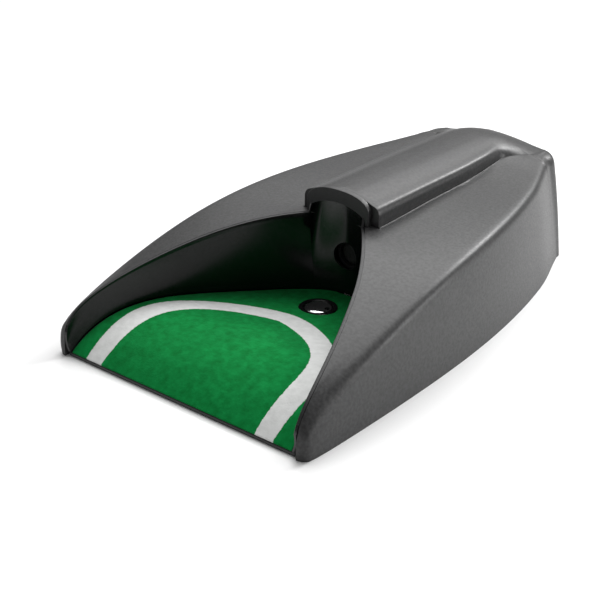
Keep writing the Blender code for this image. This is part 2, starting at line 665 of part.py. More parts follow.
def base_plate():
    inset = WALL + 0.0009
    stations = []
    for y in (BASE_FRONT_Y, 0.04, 0.07, 0.10, 0.13, 0.16, 0.19, 0.22, 0.245, 0.258, 0.264, 0.268,
              REAR_Y - inset):
        half = at_y(BOTTOM_CURVE, y)[0] - inset - round_in(y, REAR_Y - inset, CORNER_RADIUS)
        across = [half * share for share in (-1.0, -0.6, 0.0, 0.6, 1.0)]
        stations.append(([(x, rear_bend(x, y), BASE_TOP) for x in across],
                         [(x, rear_bend(x, y), BASE_BOTTOM) for x in across]))
    plate = slab("base_plate", stations, black_plastic())
    wall = TRAY_WALL
    tray = box("tray_outside", (-TRAY_HALF_WIDTH - wall, TRAY_Y[0] - wall, 0.0016),
               (TRAY_HALF_WIDTH + wall, TRAY_Y[1] + wall, TRAY_TOP + wall), black_plastic())
    posts = [rod(f"board_post_{i}", 0.0025, 0.0016, 0.0077, "Z", (x, y, 0), black_plastic(), 10)
             for i, (x, y) in enumerate(board_posts())]
    ears = [box(f"lever_ear_{i}", (x - 0.0012, 0.1285, 0.0016), (x + 0.0012, 0.1335, 0.0070),
                black_plastic())
            for i, x in enumerate((-0.0052, 0.0052))]
    join(plate, tray, *posts, *ears)
    cut(plate, rod("pin_hole", 0.00108, -0.01, 0.01, "X", (0, *LEVER_PIVOT), black_plastic(), 12))
    cut(plate,
        box("tray_inside", (-TRAY_HALF_WIDTH, TRAY_Y[0], -0.001), (TRAY_HALF_WIDTH, TRAY_Y[1], TRAY_TOP),
                   black_plastic()))
    cut(plate, box("door_recess", (-DOOR_HALF_WIDTH - GAP - 0.0012, 0.2085, -0.001),
                   (DOOR_HALF_WIDTH + GAP + 0.0012, 0.280, 0.0022), black_plastic()))
    for i, (x, y, z) in enumerate(screw_places()):
        cut(plate, rod(f"base_hole_{i}", 0.0017, 0.0, 0.01, "Z", (x, y, 0), black_plastic(), 12))
        cut(plate, rod(f"base_sink_{i}", 0.0031, 0.0, 0.0014, "Z", (x, y, 0), black_plastic(), 12))
    for i, (x, y) in enumerate(foot_places()):
        cut(plate, rod(f"foot_seat_{i}", 0.0063, 0.0, 0.0014, "Z", (x, y, 0), black_plastic(), 20))
    return plate


def board_posts():
    return (-0.0560, 0.1520), (-0.0300, 0.1970)


def foot_places():
    return [(side * x, y) for side in (-1, 1) for x, y in ((0.0560, 0.0350), (0.0440, 0.2470))]


def feet():
    rubber = material("rubber", (0.015, 0.015, 0.015), 0.9)
    for i, (x, y) in enumerate(foot_places(), 1):
        rod(f"rubber_foot_{i}", 0.0060, 0.0, 0.0011, "Z", (x, y, 0), rubber, 20)


def battery_door():
    """Slides out to the rear; its edges run in the base plate's recess."""
    low_x, high_x = -DOOR_HALF_WIDTH, DOOR_HALF_WIDTH
    door = box("battery_door", (low_x, 0.2090, BASE_BOTTOM), (high_x, 0.2690, 0.0019), black_plastic())
    grips = [box(f"grip_{i}", (-0.011, y, 0.0), (0.011, y + 0.0011, 0.0011), black_plastic())
             for i, y in enumerate((0.2560, 0.2590, 0.2620))]
    return cut(door, *grips)


# ---------- trigger mechanism ----------

def trigger_lever():
    pivot_y, pivot_z = LEVER_PIVOT
    lever = box("trigger_lever", (-0.0028, HOLE_Y - 0.0030, 0.0038), (0.0028, LEVER_REAR_Y, 0.0055),
                white_nylon(),
                origin=(0, pivot_y, pivot_z))
    join(lever, rod("lever_boss", 0.0020, -0.0036, 0.0036, "X", (0, pivot_y, pivot_z), white_nylon(), 16))
    return cut(lever,
               rod("lever_bore", 0.00108, -0.01, 0.01, "X", (0, pivot_y, pivot_z), white_nylon(), 12))


def trigger_parts():
    trigger_lever()
    rod("lever_pin", 0.0010, -0.0066, 0.0066, "X", (0, *LEVER_PIVOT), steel(), 12)
    coil("lever_spring", 0.0018, 0.0002, 5, 0.0058, 0.0119, "Z", (0, 0.1385, 0), steel(), sides=4,
         per_turn=9)
    body = box("micro_switch", (-0.0100, 0.1438, 0.0076), (0.0100, 0.1502, 0.0160),
               material("switch_black", (0.03, 0.03, 0.035), 0.4), 0.0004)
    cut(body, box("plunger_slot", (-0.0013, 0.1457, 0.0070), (0.0013, 0.1483, 0.0110), black_plastic()))
    box("switch_plunger", (-0.0010, 0.1460, 0.0058), (0.0010, 0.1480, 0.0092),
        material("switch_red", (0.55, 0.03, 0.02), 0.4), origin=(0, 0.1470, 0.0079))


# ---------- kicker ----------

def rack_cutter(k):
    """One space between two teeth of the rack."""
    pitch = math.pi * RACK_MODULE
    y = SECTOR_Y + k * pitch
    low, high = KICK_Z - BAR / 2 - 0.0002, KICK_Z - BAR / 2 + 1.8 * RACK_MODULE
    wide, narrow = 0.86 * pitch / 2, 0.42 * pitch / 2
    corners = [(x, y + side * w, z) for x in (-0.005, 0.005) for z, w in ((low, wide), (high, narrow))
               for side in (-1, 1)]
    faces = [(0, 1, 3, 2), (4, 6, 7, 5), (0, 4, 5, 1), (2, 3, 7, 6), (0, 2, 6, 4), (1, 5, 7, 3)]
    return from_faces(f"rack_space_{k}", corners, faces, black_plastic())


def kicker_plunger():
    acetal = material("acetal_black", (0.03, 0.03, 0.032), 0.35)
    half = BAR / 2
    bar = box("kicker_plunger", (-half, HEAD_REAR_Y - 0.001, KICK_Z - half),
              (half, BAR_REAR_Y, KICK_Z + half), acetal,
              origin=(0, HEAD_REAR_Y, KICK_Z))
    head = rod("kicker_head", HEAD_RADIUS, HEAD_FRONT_Y, HEAD_REAR_Y, "Y", (0, 0, KICK_Z), acetal, 24)
    stud = rod("kicker_stud", 0.0025, 0.1325, HEAD_FRONT_Y + 0.001, "Y", (0, 0, KICK_Z), acetal, 12)
    join(bar, head, stud)
    return cut(bar, *[rack_cutter(k) for k in range(SECTOR_CUT)])


def kicker_tip():
    rubber = material("tip_rubber", (0.02, 0.02, 0.02), 0.8)
    face_y = 0.1312
    rear_y = HEAD_FRONT_Y - GAP
    profile = [(0, face_y), (0.0045, face_y + 0.0003), (0.0060, face_y + 0.0012),
               (HEAD_RADIUS - 0.0002, rear_y),
               (0.0028, rear_y), (0.0028, 0.1322), (0, 0.1322)]
    return lathe("kicker_tip", profile, "Y", (0, 0, KICK_Z), rubber, 24)


def kicker_guide():
    """Barrel round the kicker's head and spring, its rear wall and the foot that carries it."""
    centre = (0, 0, KICK_Z)
    start, end = 0.1306, GUIDE_WALL_Y + 0.0030
    barrel = rod("kicker_guide", 0.0084, start, end, "Y", centre, black_plastic(), 24)
    foot = box("guide_foot", (-0.0105, 0.1512, BASE_TOP + GAP), (0.0105, end - 0.0005, KICK_Z - 0.0045),
               black_plastic())
    shelf = box("spring_shelf", (-0.0032, 0.1350, 0.0122), (0.0032, 0.1420, 0.0150), black_plastic())
    web = box("guide_web", (-0.0015, 0.1354, 0.0140), (0.0015, 0.1540, KICK_Z - 0.0070), black_plastic())
    cut(join(barrel, foot, shelf, web),
        rod("barrel_bore", 0.0067, 0.120, GUIDE_WALL_Y, "Y", centre, black_plastic(), 24))
    half = BAR / 2 + 0.0003
    return cut(barrel,
               box("bar_hole", (-half, 0.15, KICK_Z - half), (half, 0.17, KICK_Z + half), black_plastic()),
               box("switch_room", (-0.0108, 0.1434, 0.0020), (0.0108, 0.1522, 0.0164), black_plastic()))


def kicker_parts():
    kicker_guide()
    kicker_plunger()
    kicker_tip()
    coil("kicker_spring", 0.0056, 0.0004, 9, HEAD_REAR_Y + GAP, GUIDE_WALL_Y - GAP, "Y", (0, 0, KICK_Z),
         steel(),
         sides=5, per_turn=10)


# ---------- gear train ----------

def gear_places():
    """Places (y, z) of the sector wheel, the reduction gear and the motor, and the directions between."""
    sector_z = KICK_Z - BAR / 2 + 0.8 * RACK_MODULE - SECTOR_TEETH * RACK_MODULE / 2
    first_reach = (WHEEL_TEETH + PINION_TEETH) * TRAIN_MODULE / 2
    second_reach = (BIG_TEETH + PINION_TEETH) * TRAIN_MODULE / 2
    first_way, second_way = math.radians(-5), math.radians(-25)
    reduction = (SECTOR_Y + first_reach * math.cos(first_way), sector_z + first_reach * math.sin(first_way))
    motor = (reduction[0] + second_reach * math.cos(second_way),
             reduction[1] + second_reach * math.sin(second_way))
    return (SECTOR_Y, sector_z), reduction, motor, first_way, second_way


def gear_train():
    sector, reduction, motor, first_way, second_way = gear_places()
    bore = circle(BORE_RADIUS)
    centre = (0, *sector)
    wheel = prism("sector_gear", gear_outline(WHEEL_TEETH, TRAIN_MODULE, 0.0), bore, 0.0046, 0.0076, "X",
                  centre,
                  white_nylon(), origin=centre)
    sector_teeth = gear_outline(SECTOR_TEETH, RACK_MODULE, math.radians(90), SECTOR_CUT)
    join(wheel, prism("sector_part", sector_teeth, bore, -0.0030, 0.0050, "X", centre, white_nylon()))

    centre = (0, *reduction)
    small_phase = meshing_phase(first_way, 0.0, WHEEL_TEETH, PINION_TEETH)
    small = prism("reduction_gear", gear_outline(PINION_TEETH, TRAIN_MODULE, small_phase), bore, 0.0044,
                  0.0095, "X",
                  centre, white_nylon(), origin=centre)
    join(small,
         prism("big_part", gear_outline(BIG_TEETH, TRAIN_MODULE, 0.0), bore, 0.0090, 0.0115, "X", centre,
                      white_nylon()))

    centre = (0, *motor)
    pinion_phase = meshing_phase(second_way, 0.0, BIG_TEETH, PINION_TEETH)
    prism("motor_pinion", gear_outline(PINION_TEETH, TRAIN_MODULE, pinion_phase), circle(0.00108, 10),
          0.0088, 0.0118,
          "X", centre, material("brass", (0.72, 0.52, 0.20), 0.3, 1.0), origin=centre)

    for name, (y, z) in (("sector_axle", sector), ("reduction_axle", reduction)):
        rod(name, AXLE_RADIUS, FRAME_X[0] - 0.0006, FRAME_X[1] + 0.0006, "X", (0, y, z), steel())


def gear_frame():
    """U-shaped steel frame that carries the axles, and the plate that ties its top."""
    (low_x, high_x), (low_y, high_y) = FRAME_X, FRAME_Y
    low_z = BASE_TOP + GAP
    plate = material("zinc_plate", (0.55, 0.56, 0.58), 0.4, 1.0)
    frame = box("gear_frame", (low_x, low_y, low_z), (high_x, high_y, FRAME_TOP), plate)
    cut(frame,
        box("frame_inside", (low_x + 0.0018, 0.15, low_z + 0.0012), (high_x - 0.0018, 0.20, 0.05), plate))
    bars = [box(f"cross_bar_{i}", (low_x + 0.0008, y - 0.0030, FRAME_TOP - 0.0017),
                (high_x - 0.0008, y + 0.0030, FRAME_TOP), plate) for i, (x, y) in enumerate(cover_screws())]
    join(frame, *bars)
    sector, reduction, *_ = gear_places()
    for i, (y, z) in enumerate((sector, reduction)):
        cut(frame, rod(f"axle_hole_{i}", BORE_RADIUS, -0.02, 0.02, "X", (0, y, z), plate))
    for i, (x, y) in enumerate(cover_screws()):
        cut(frame, rod(f"bar_hole_{i}", 0.0012, 0.03, 0.05, "Z", (x, y, 0), plate, 10))
    cover = box("frame_cover", (low_x, low_y, FRAME_TOP + GAP), (high_x, high_y, FRAME_TOP + GAP + 0.0015),
                plate)
    for i, (x, y) in enumerate(cover_screws(), 1):
        cut(cover, rod(f"cover_hole_{i}", 0.0011, 0.03, 0.05, "Z", (x, y, 0), plate, 10))
        screw(f"frame_screw_{i}", x, y, FRAME_TOP + GAP + 0.0015 + GAP, 0.0018, 0.0009, 0.0026, 1)
    return frame


def cover_screws():
    """Places (x, y) of the screws that hold the cover on the frame's two cross bars."""
    return (0.0, 0.1640), (0.0, 0.1860)


def screw(name, x, y, head_z, head_radius, shank_radius, length, way):
    """A pan-head screw; way is +1 with the head on top, -1 with the head underneath."""
    head_height = head_radius * 0.35
    profile = [(0, head_height), (head_radius * 0.7, head_height), (head_radius, head_height * 0.5),
               (head_radius, 0), (shank_radius, 0), (shank_radius, -length), (0, -length - shank_radius)]
    made = lathe(name, [(r, head_z + way * z) for r, z in profile], "Z", (x, y, 0), steel(), 12)
    slot = [(x - 0.004, y - 0.0003), (x + 0.004, y + 0.0003)]
    low, high = sorted((head_z + way * head_height * 0.55, head_z + way * head_height * 1.5))
    return cut(made, box(name + "_slot", (*slot[0], low), (*slot[1], high), steel()))


def motor_parts():
    y, z = gear_places()[2]
    can = material("motor_can", (0.58, 0.58, 0.60), 0.35, 1.0)
    centre = (0, y, z)
    flat = 0.0077
    outline = []
    for k in range(24):
        angle = math.tau * k / 24
        height = 0.0100 * math.sin(angle)
        height = max(-flat, min(flat, height))
        across = 0.0100 * math.cos(angle)
        outline.append((math.hypot(across, height), math.atan2(height, across)))
    motor = prism("motor", outline, None, -0.0210, 0.0036, "X", centre, can)
    join(motor, rod("motor_nose", 0.0030, 0.0030, 0.0052, "X", centre, can, 16),
         rod("motor_shaft", 0.0010, 0.0030, 0.0122, "X", centre, can, 10))
    strap = box("motor_strap", (-0.0175, y - 0.0121, BASE_TOP + GAP),
                (-0.0115, y + 0.0106, z + flat + 0.0014),
                black_plastic())
    return cut(strap, box("strap_inside", (-0.03, y - 0.0103, 0.0), (0.0, y + 0.0103, z + flat + GAP),
                          black_plastic()))


# ---------- electrical parts ----------

def cell_x(i):
    return (i - 1.5) * CELL_SPACING


def batteries():
    """Four cells side by side in series, with the sheet contacts between them."""
    middle_y = (TRAY_Y[0] + TRAY_Y[1]) / 2
    for i in range(4):
        way = 1 if i % 2 else -1
        half = CELL_LENGTH / 2
        profile = [(0, -half), (CELL_RADIUS - 0.0008, -half), (CELL_RADIUS, -half + 0.0008),
                   (CELL_RADIUS, half - 0.0020), (CELL_RADIUS - 0.0010, half - 0.0010),
                   (0.0027, half - 0.0010),
                   (0.0027, half), (0, half)]
        lathe(f"battery_cell_{i + 1}", [(r, middle_y + way * a) for r, a in profile], "Y",
              (cell_x(i), 0, CELL_Z),
              material("cell_green", (0.05, 0.22, 0.20), 0.35), 20)
    ends = {"contact_positive": (0, 0, 0), "contact_front_bridge": (1, 2, 0), "contact_negative": (3, 3, 0),
            "contact_left_bridge": (0, 1, 1), "contact_right_bridge": (2, 3, 1)}
    nickel = material("nickel_sheet", (0.70, 0.69, 0.64), 0.28, 1.0)
    for name, (first, last, rear) in ends.items():
        low_y = TRAY_Y[rear] + (-0.0009 if rear else 0.0003)
        box(name, (cell_x(first) - 0.0050, low_y, 0.0060), (cell_x(last) + 0.0050, low_y + 0.0006, 0.0172),
            nickel)


def circuit_board():
    board = box("circuit_board", (-0.0590, 0.1490, 0.0080), (-0.0270, 0.2000, 0.0096),
                material("board_green", (0.02, 0.13, 0.06), 0.45))
    for i, (x, y) in enumerate(board_posts()):
        cut(board, rod(f"board_hole_{i}", 0.0013, 0.0, 0.02, "Z", (x, y, 0), black_plastic(), 10))
    box("control_chip", (-0.0480, 0.1650, 0.0099), (-0.0400, 0.1750, 0.0125), black_plastic(), 0.0003)
    rod("smoothing_capacitor", 0.0040, 0.0099, 0.0200, "Z", (-0.0500, 0.1880, 0),
        material("capacitor_sleeve", (0.03, 0.05, 0.16), 0.35), 16)
    box("motor_relay", (-0.0400, 0.1800, 0.0099), (-0.0300, 0.1900, 0.0180),
        material("relay_blue", (0.03, 0.10, 0.35),
                                                                                    0.4), 0.0004)


def rear_sockets():
    jack_x, knob_x = socket_places()
    jack = box("power_jack", (jack_x - 0.0042, 0.2500, 0.0085), (jack_x + 0.0042, 0.2610, 0.0185),
               black_plastic())
    join(jack, rod("jack_nose", 0.0030, 0.2605, 0.2680, "Y", (jack_x, 0, 0.0135), black_plastic()))
    cut(jack,
        pipe("jack_bore", 0.0022, 0.0009, 0.2540, 0.2700, "Y", (jack_x, 0, 0.0135), black_plastic(), 16))
    switch = box("power_switch", (knob_x - 0.0056, 0.2560, 0.0100), (knob_x + 0.0056, 0.2610, 0.0170),
                 steel())
    cut(switch,
        box("switch_track", (knob_x - 0.0041, 0.2585, 0.0118), (knob_x + 0.0041, 0.2620, 0.0152), steel()))
    box("power_switch_knob", (knob_x - 0.0038, 0.2590, 0.0121), (knob_x - 0.0002, 0.2700, 0.0149),
        black_plastic(),
        origin=(knob_x - 0.002, 0.2640, 0.0135))


def leads():
    red = material("lead_red", (0.60, 0.02, 0.02), 0.45)
    black = material("lead_black", (0.02, 0.02, 0.02), 0.45)
    routes = {
        "motor_lead_red": (red,
                           [(-0.0217, 0.2010, 0.0150), (-0.0245, 0.2035, 0.0170), (-0.0290, 0.2020, 0.0150),
                                 (-0.0300, 0.1990, 0.0130), (-0.0300, 0.1965, 0.0109)]),
        "motor_lead_black": (black, [(-0.0217, 0.1960, 0.0080), (-0.0235, 0.1940, 0.0100),
                                     (-0.0260, 0.1930, 0.0125),
                                     (-0.0290, 0.1930, 0.0125), (-0.0295, 0.1930, 0.0106)]),
        "battery_lead_red": (red, [(-0.0250, 0.2106, 0.0230), (-0.0330, 0.2120, 0.0235),
                                   (-0.0400, 0.2080, 0.0180),
                                   (-0.0420, 0.1990, 0.0140), (-0.0420, 0.1960, 0.0109)]),
        "trigger_lead": (black,
                         [(-0.0106, 0.1470, 0.0120), (-0.0160, 0.1470, 0.0120), (-0.0220, 0.1500, 0.0130),
                                 (-0.0280, 0.1530, 0.0130), (-0.0300, 0.1540, 0.0108)]),
        "jack_lead": (red, [(0.0385, 0.2495, 0.0130), (0.0395, 0.2360, 0.0210), (0.0380, 0.2180, 0.0310),
                            (0.0200, 0.2120, 0.0330), (-0.0200, 0.2100, 0.0330), (-0.0430, 0.2070, 0.0270),
                            (-0.0450, 0.1990, 0.0170), (-0.0450, 0.1960, 0.0109)]),
    }
    for name, (skin, points) in routes.items():
        wire(name, points, skin)


def base_screws():
    for i, (x, y, z) in enumerate(screw_places(), 1):
        screw(f"base_screw_{i}", x, y, 0.0013 - GAP, 0.0027, 0.0009, 0.0085, -1)


def main():
    global ROOT
    clear_scene()
    ROOT = bpy.data.objects.new("putting_cup", None)
    bpy.context.scene.collection.objects.link(ROOT)
    ROOT.location = (0, ROOT_Y, 0)
    for build in (upper_housing, bay_liner, putting_deck, green_felt, hole_bezel, trigger_button,
                  base_plate, feet,
                  battery_door, trigger_parts, kicker_parts, gear_train, gear_frame, motor_parts, batteries,
                  circuit_board, rear_sockets, leads, base_screws):
        build()


main()
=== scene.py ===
"""Looks of the automatic putting cup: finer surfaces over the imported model, materials, light, camera.

Metres, +Z up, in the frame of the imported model. Shapes are worked out with Y running from the ramp's front
edge to the rear wall, and moved into the frame by ROOT_Y when an object is made.
"""

import math

import bmesh
import bpy
import numpy as np
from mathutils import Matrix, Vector

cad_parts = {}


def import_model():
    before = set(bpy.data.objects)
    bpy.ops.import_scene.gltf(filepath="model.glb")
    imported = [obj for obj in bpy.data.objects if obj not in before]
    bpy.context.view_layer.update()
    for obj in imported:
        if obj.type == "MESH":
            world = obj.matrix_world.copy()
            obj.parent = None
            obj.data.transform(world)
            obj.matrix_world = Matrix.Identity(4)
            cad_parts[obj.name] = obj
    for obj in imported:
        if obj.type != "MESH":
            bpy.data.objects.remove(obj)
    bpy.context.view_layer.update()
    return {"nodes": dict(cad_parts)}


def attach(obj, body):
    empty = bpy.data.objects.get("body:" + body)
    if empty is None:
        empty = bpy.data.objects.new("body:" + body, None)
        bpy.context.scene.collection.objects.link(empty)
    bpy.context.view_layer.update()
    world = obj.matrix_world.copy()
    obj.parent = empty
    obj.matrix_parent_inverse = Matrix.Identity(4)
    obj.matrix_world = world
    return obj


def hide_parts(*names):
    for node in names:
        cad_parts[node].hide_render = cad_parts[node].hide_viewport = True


# Overall size
REAR_Y = 0.2730
NOSE_Y = -0.0010
NOSE_RADIUS = 0.0035
NOSE_DROP = 1.2  # how far the top sinks at the nose, against how far the side draws in
NOSE_LIP = 0.3  # how far the bay's rim moves out at the nose, likewise
ROOT_Y = -(REAR_Y + NOSE_Y) / 2
WALL = 0.0020
HOOD_WALL = 0.0014
GAP = 0.0003
CLEARANCE = 0.00012  # between visible pieces that seem to touch

# Outlines of one half, as control points of Bezier curves: (x, y) or (x, y, z)
CREASE = [(0.0780, -0.0010, 0.0080), (0.0750, -0.0006, 0.0277), (0.0840, 0.0548, 0.0300),
          (0.0686, 0.0991, 0.0629), (0.0879, 0.1452, 0.0493), (0.0418, 0.2613, 0.0573)]
BOTTOM_EDGE = [(0.0765, -0.0010), (0.0815, 0.0016), (0.0768, 0.0522),
               (0.0867, 0.1254), (0.0767, 0.1872), (0.0519, 0.2647)]
RIM = [(0.0705, -0.0010, 0.0060), (0.0731, -0.0014, 0.0309), (0.0688, 0.0241, 0.0283),
       (0.0515, 0.0769, 0.0543), (0.0180, 0.1181, 0.0531)]
BAY_FLOOR = [(0.0696, -0.0100), (0.0727, 0.0160), (0.0556, 0.0777), (0.0347, 0.1235), (0.0, 0.1267)]
RAMP_HEIGHT = [(0.0, 0.0025), (0.03125, 0.0281), (0.0625, 0.0148), (0.09375, 0.0073), (0.125, 0.0090)]
STRIPE_OUTER = [(0.0588, 0.0003), (0.0593, 0.0371), (0.0665, 0.0474), (0.0287, 0.0843), (0.0, 0.0858)]
STRIPE_INNER = [(0.0485, 0.0002), (0.0465, 0.0308), (0.0528, 0.0498), (0.0232, 0.0685), (0.0, 0.0732)]

# Spine: the hood over the niche and the wider ridge behind it, as (x, z) from above the foot to the crown
HOOD_FRONT_Y = 0.1185
RIDGE_FRONT_Y = 0.1216
HOOD_HALF_WIDTH = 0.0192
RIDGE_HALF_WIDTH = 0.0236
HOOD_SECTION = [(0.0192, 0.0570), (0.0192, 0.0605), (0.0188, 0.0623), (0.0182, 0.0632),
                (0.0175, 0.0640), (0.0165, 0.0649), (0.0152, 0.0657), (0.0137, 0.0665),
                (0.0096, 0.0678), (0.0048, 0.0685), (0.0, 0.0687)]
RIDGE_SECTION = [(0.0235, 0.0570), (0.0235, 0.0594), (0.0232, 0.0609), (0.0226, 0.0621),
                 (0.0217, 0.0630), (0.0205, 0.0636), (0.0190, 0.0641), (0.0170, 0.0649),
                 (0.0130, 0.0666), (0.0080, 0.0681), (0.0, 0.0687)]
RIDGE_END_SECTION = [(0.0230, 0.0554), (0.0218, 0.0579), (0.0206, 0.0597), (0.0193, 0.0611),
                     (0.0181, 0.0623), (0.0169, 0.0634), (0.0158, 0.0644), (0.0145, 0.0654),
                     (0.0116, 0.0670), (0.0070, 0.0682), (0.0, 0.0687)]
SECTION_FOOT = 0.0532
SECTION_CROWN = 0.0687
RIDGE_NARROWING = 0.06
NARROWING_Y = (0.190, 0.245)
ANCHOR_Y = (0.150, 0.245)  # where the panel's inner end moves from the hood's side to the ridge's foot
SPINE_CROWN = [(0.118, 0.0687), (0.235, 0.0687), (0.2515, 0.0676), (0.262, 0.0650), (0.268, 0.0625),
               (0.273, 0.0602)]
SPINE_FOOT = [(0.118, 0.05318), (0.126, 0.05330), (0.142, 0.0538), (0.164, 0.0548), (0.187, 0.0553),
              (0.211, 0.0560), (0.230, 0.0573), (0.252, 0.0590), (0.273, 0.0590)]
ROUNDING_Y = (0.222, 0.252)
CAP_BLEND_Y = (0.237, 0.262)
CAP_Y = 0.2544
CAP_STEP = 0.00025
CAP_STEP_RUN = 0.00025  # half the length over which the step rises
CAP_STEP_X = (0.022, 0.034)  # the step fades out towards the middle
CAP_MARGIN = 0.0070  # kept free between the cap's widest point and the crease
CAP_PLACES = [0.0330, 0.0290, 0.0258, 0.0232, 0.0211, 0.0193, 0.0176, 0.0161, 0.0145, 0.0116, 0.0070, 0.0]
BEAD_RADIUS = 0.00045
BEAD_REACH = 2.2  # where the panel meets the bead, in radii from the foot
BEAD_FADE_Y = (0.225, 0.262)  # where the bead dies away
FRONT_EDGE_RADIUS = 0.0004
FRONT_FACE_RUN = 0.00002  # how far the foot of a front face lies ahead of it
RIM_DRAW_IN = 0.0020
DRAW_IN_START = 0.72  # where along the rim it starts, from 0 at the horn to 1 at the hood
PANEL_SMOOTHING = 0.012  # how far the panel's slope is averaged on each side of the hood's front
LINER_WALL = 0.0012
LIP_WIDTH = 0.0016
NICHE_DEPTH = 0.0085
NICHE_FRONT = 0.0007  # how far the niche's mouth lies behind the hood's front
NICHE_FLOOR_HALF_WIDTH = 0.0196
LINER_START = 0.07  # where along the rim the bay wall begins, likewise
LINER_TOP_DROP = 0.0001  # how far the wall's top edge lies under the panel
LINER_LEAN = 0.0045  # how far back the wall's foot lies from its top where it meets the niche
LINER_BOW = 0.0008
LINER_EDGE = 0.0003
LIP_FADE_X = (0.0160, 0.0230)  # the wall's lip narrows here, towards the niche
REAR_SAG = 0.0064  # how far the rear wall curves forward at SAG_X
SAG_X = 0.050
SAG_START_Y = 0.215
PANEL_BOW = 0.0005
CORNER_RADIUS = 0.0072
SIDE_CLEARANCE = 0.00001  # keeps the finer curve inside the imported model's box
CREASE_FILLET = 0.0060
INNER_FILLET = 0.0022  # of the hollow
HOLLOW_Y = (0.0055, REAR_Y - 0.0045)
SIDE_BOW = 0.0009
TOP_EDGE_RADIUS = 0.0022
EDGE_BEVEL = 0.00025  # on the outer carried-over nodes

# Ramp, felt and trigger
FELT_THICKNESS = 0.0008
FELT_FRONT_Y, FELT_REAR_Y = 0.0006, 0.1254
FELT_MARGIN = 0.0008  # between its edge and the bay wall
FELT_MIN_HALF_WIDTH = 0.004
HOLE_Y = 0.1040
HOLE_TOP = 0.0099
BEZEL_RADIUS = 0.0100
BEZEL_FLANGE = 0.0012
BEZEL_NECK_RADIUS = 0.0086
BEZEL_FOOT_Z = 0.0065
BEZEL_ROUNDINGS = (0.0006, 0.0005)  # of its outer and inner upper edge
BUTTON_RADIUS = 0.0072
DOME_BASE_Z = 0.0093
DOME_RISE = 0.0015
BUTTON_UNDERSIDE_Z = 0.0078
STEM_RADIUS = 0.0022
STEM_END_Z = 0.0058
KICK_Z = 0.0300
KICK_HOLE_RADIUS = 0.0073

# Openings in the rear wall
BEHIND_Y = 0.285  # past the rear wall
JACK_X = 0.0385
JACK_Z = 0.0135
JACK_HOLE_RADIUS = 0.0034
KNOB_X = -0.0383
KNOB_SLOT_HALF_WIDTH = 0.0045
KNOB_SLOT_Z = (0.0110, 0.0160)
DOOR_HALF_WIDTH = 0.0303
DOOR_SLOT_TOP = 0.0030

# Camera and light
EYE = (0.3470, -0.4659, 0.2772)
TARGET = (0.0151, -0.0646, 0.0300)
LENS = 72.9
WORLD_STRENGTH = 0.28
LIGHTS = [("back", (0.24, 0.90, 0.72), (0, 0, 0), 0.3, 8),
          ("side", (0.66, 0.42, 0.16), (0.05, 0.12, 0.03), 0.25, 1.8),
          ("overhead", (-0.30, 0.62, 1.25), (0, 0, 0), 1.5, 28)]


# ---------- curves and outlines ----------

def bezier(controls, count=400):
    controls = np.array(controls)
    order = len(controls) - 1
    t = np.linspace(0.0, 1.0, count)[:, None]
    weights = [math.comb(order, k) * t**k * (1 - t)**(order - k) for k in range(order + 1)]
    return sum(weight * control for weight, control in zip(weights, controls))


def at_y(curve, y):
    """The curve's other coordinates where it reaches y."""
    return [float(np.interp(y, curve[:, 1], curve[:, k])) for k in range(curve.shape[1]) if k != 1]


def smooth_level(table, y):
    """Value at y of a table of (y, value) pairs, joined by a curve that doesn't overshoot."""
    ys, values = np.array(table).T
    slopes = np.diff(values) / np.diff(ys)
    tangents = np.concatenate([[slopes[0]], np.where(slopes[1:] * slopes[:-1] > 0,
                               (slopes[1:] + slopes[:-1]) / 2, 0.0), [slopes[-1]]])
    k = int(np.clip(np.searchsorted(ys, y) - 1, 0, len(slopes) - 1))
    width = ys[k + 1] - ys[k]
    t = min(max((y - ys[k]) / width, 0.0), 1.0)
    return float((1 + 2 * t) * (1 - t)**2 * values[k] + t * (1 - t)**2 * width * tangents[k]
                 + t * t * (3 - 2 * t) * values[k + 1] - t * t * (1 - t) * width * tangents[k + 1])


def ease(value, start, end):
    t = min(max((value - start) / (end - start), 0.0), 1.0)
    return t * t * (3 - 2 * t)


def smooth_path(points, per_span):
    """A Catmull-Rom curve through the points."""
    points = [np.array(p) for p in points]
    padded = [2 * points[0] - points[1]] + points + [2 * points[-1] - points[-2]]
    made = []
    for a, b, c, d in zip(padded, padded[1:], padded[2:], padded[3:]):
        for k in range(per_span):
            t = k / per_span
            made.append(0.5 * (2 * b + (c - a) * t + (2 * a - 5 * b + 4 * c - d) * t * t
                               + (3 * b - a - 3 * c + d) * t**3))
    return made + [points[-1]]


def quadratic(a, b, c, count):
    """Points of a quadratic Bezier curve, without its last one."""
    a, b, c = np.array(a), np.array(b), np.array(c)
    return [(1 - t)**2 * a + 2 * t * (1 - t) * b + t * t * c for t in np.arange(count) / count]


CREASE_CURVE = bezier(CREASE)
BOTTOM_CURVE = bezier(BOTTOM_EDGE)
RIM_CURVE = bezier(RIM)
FLOOR_CURVE = bezier(BAY_FLOOR)
RAMP_CURVE = bezier(RAMP_HEIGHT)


def ramp_top(y):
    return float(np.interp(y, RAMP_CURVE[:, 0], RAMP_CURVE[:, 1]))


# ---------- mesh building ----------

def from_faces(name, points, faces, smooth_angle=40):
    mesh = bpy.data.meshes.new(name)
    mesh.from_pydata([(p[0], p[1] + ROOT_Y, p[2]) for p in points], [], faces)
    shape = bmesh.new()
    shape.from_mesh(mesh)
    bmesh.ops.remove_doubles(shape, verts=shape.verts, dist=1e-7)
    bmesh.ops.recalc_face_normals(shape, faces=shape.faces)
    shape.to_mesh(mesh)
    shape.free()
    mesh.shade_smooth()
    mesh.set_sharp_from_angle(angle=math.radians(smooth_angle))
    obj = bpy.data.objects.new(name, mesh)
    bpy.context.scene.collection.objects.link(obj)
    return obj


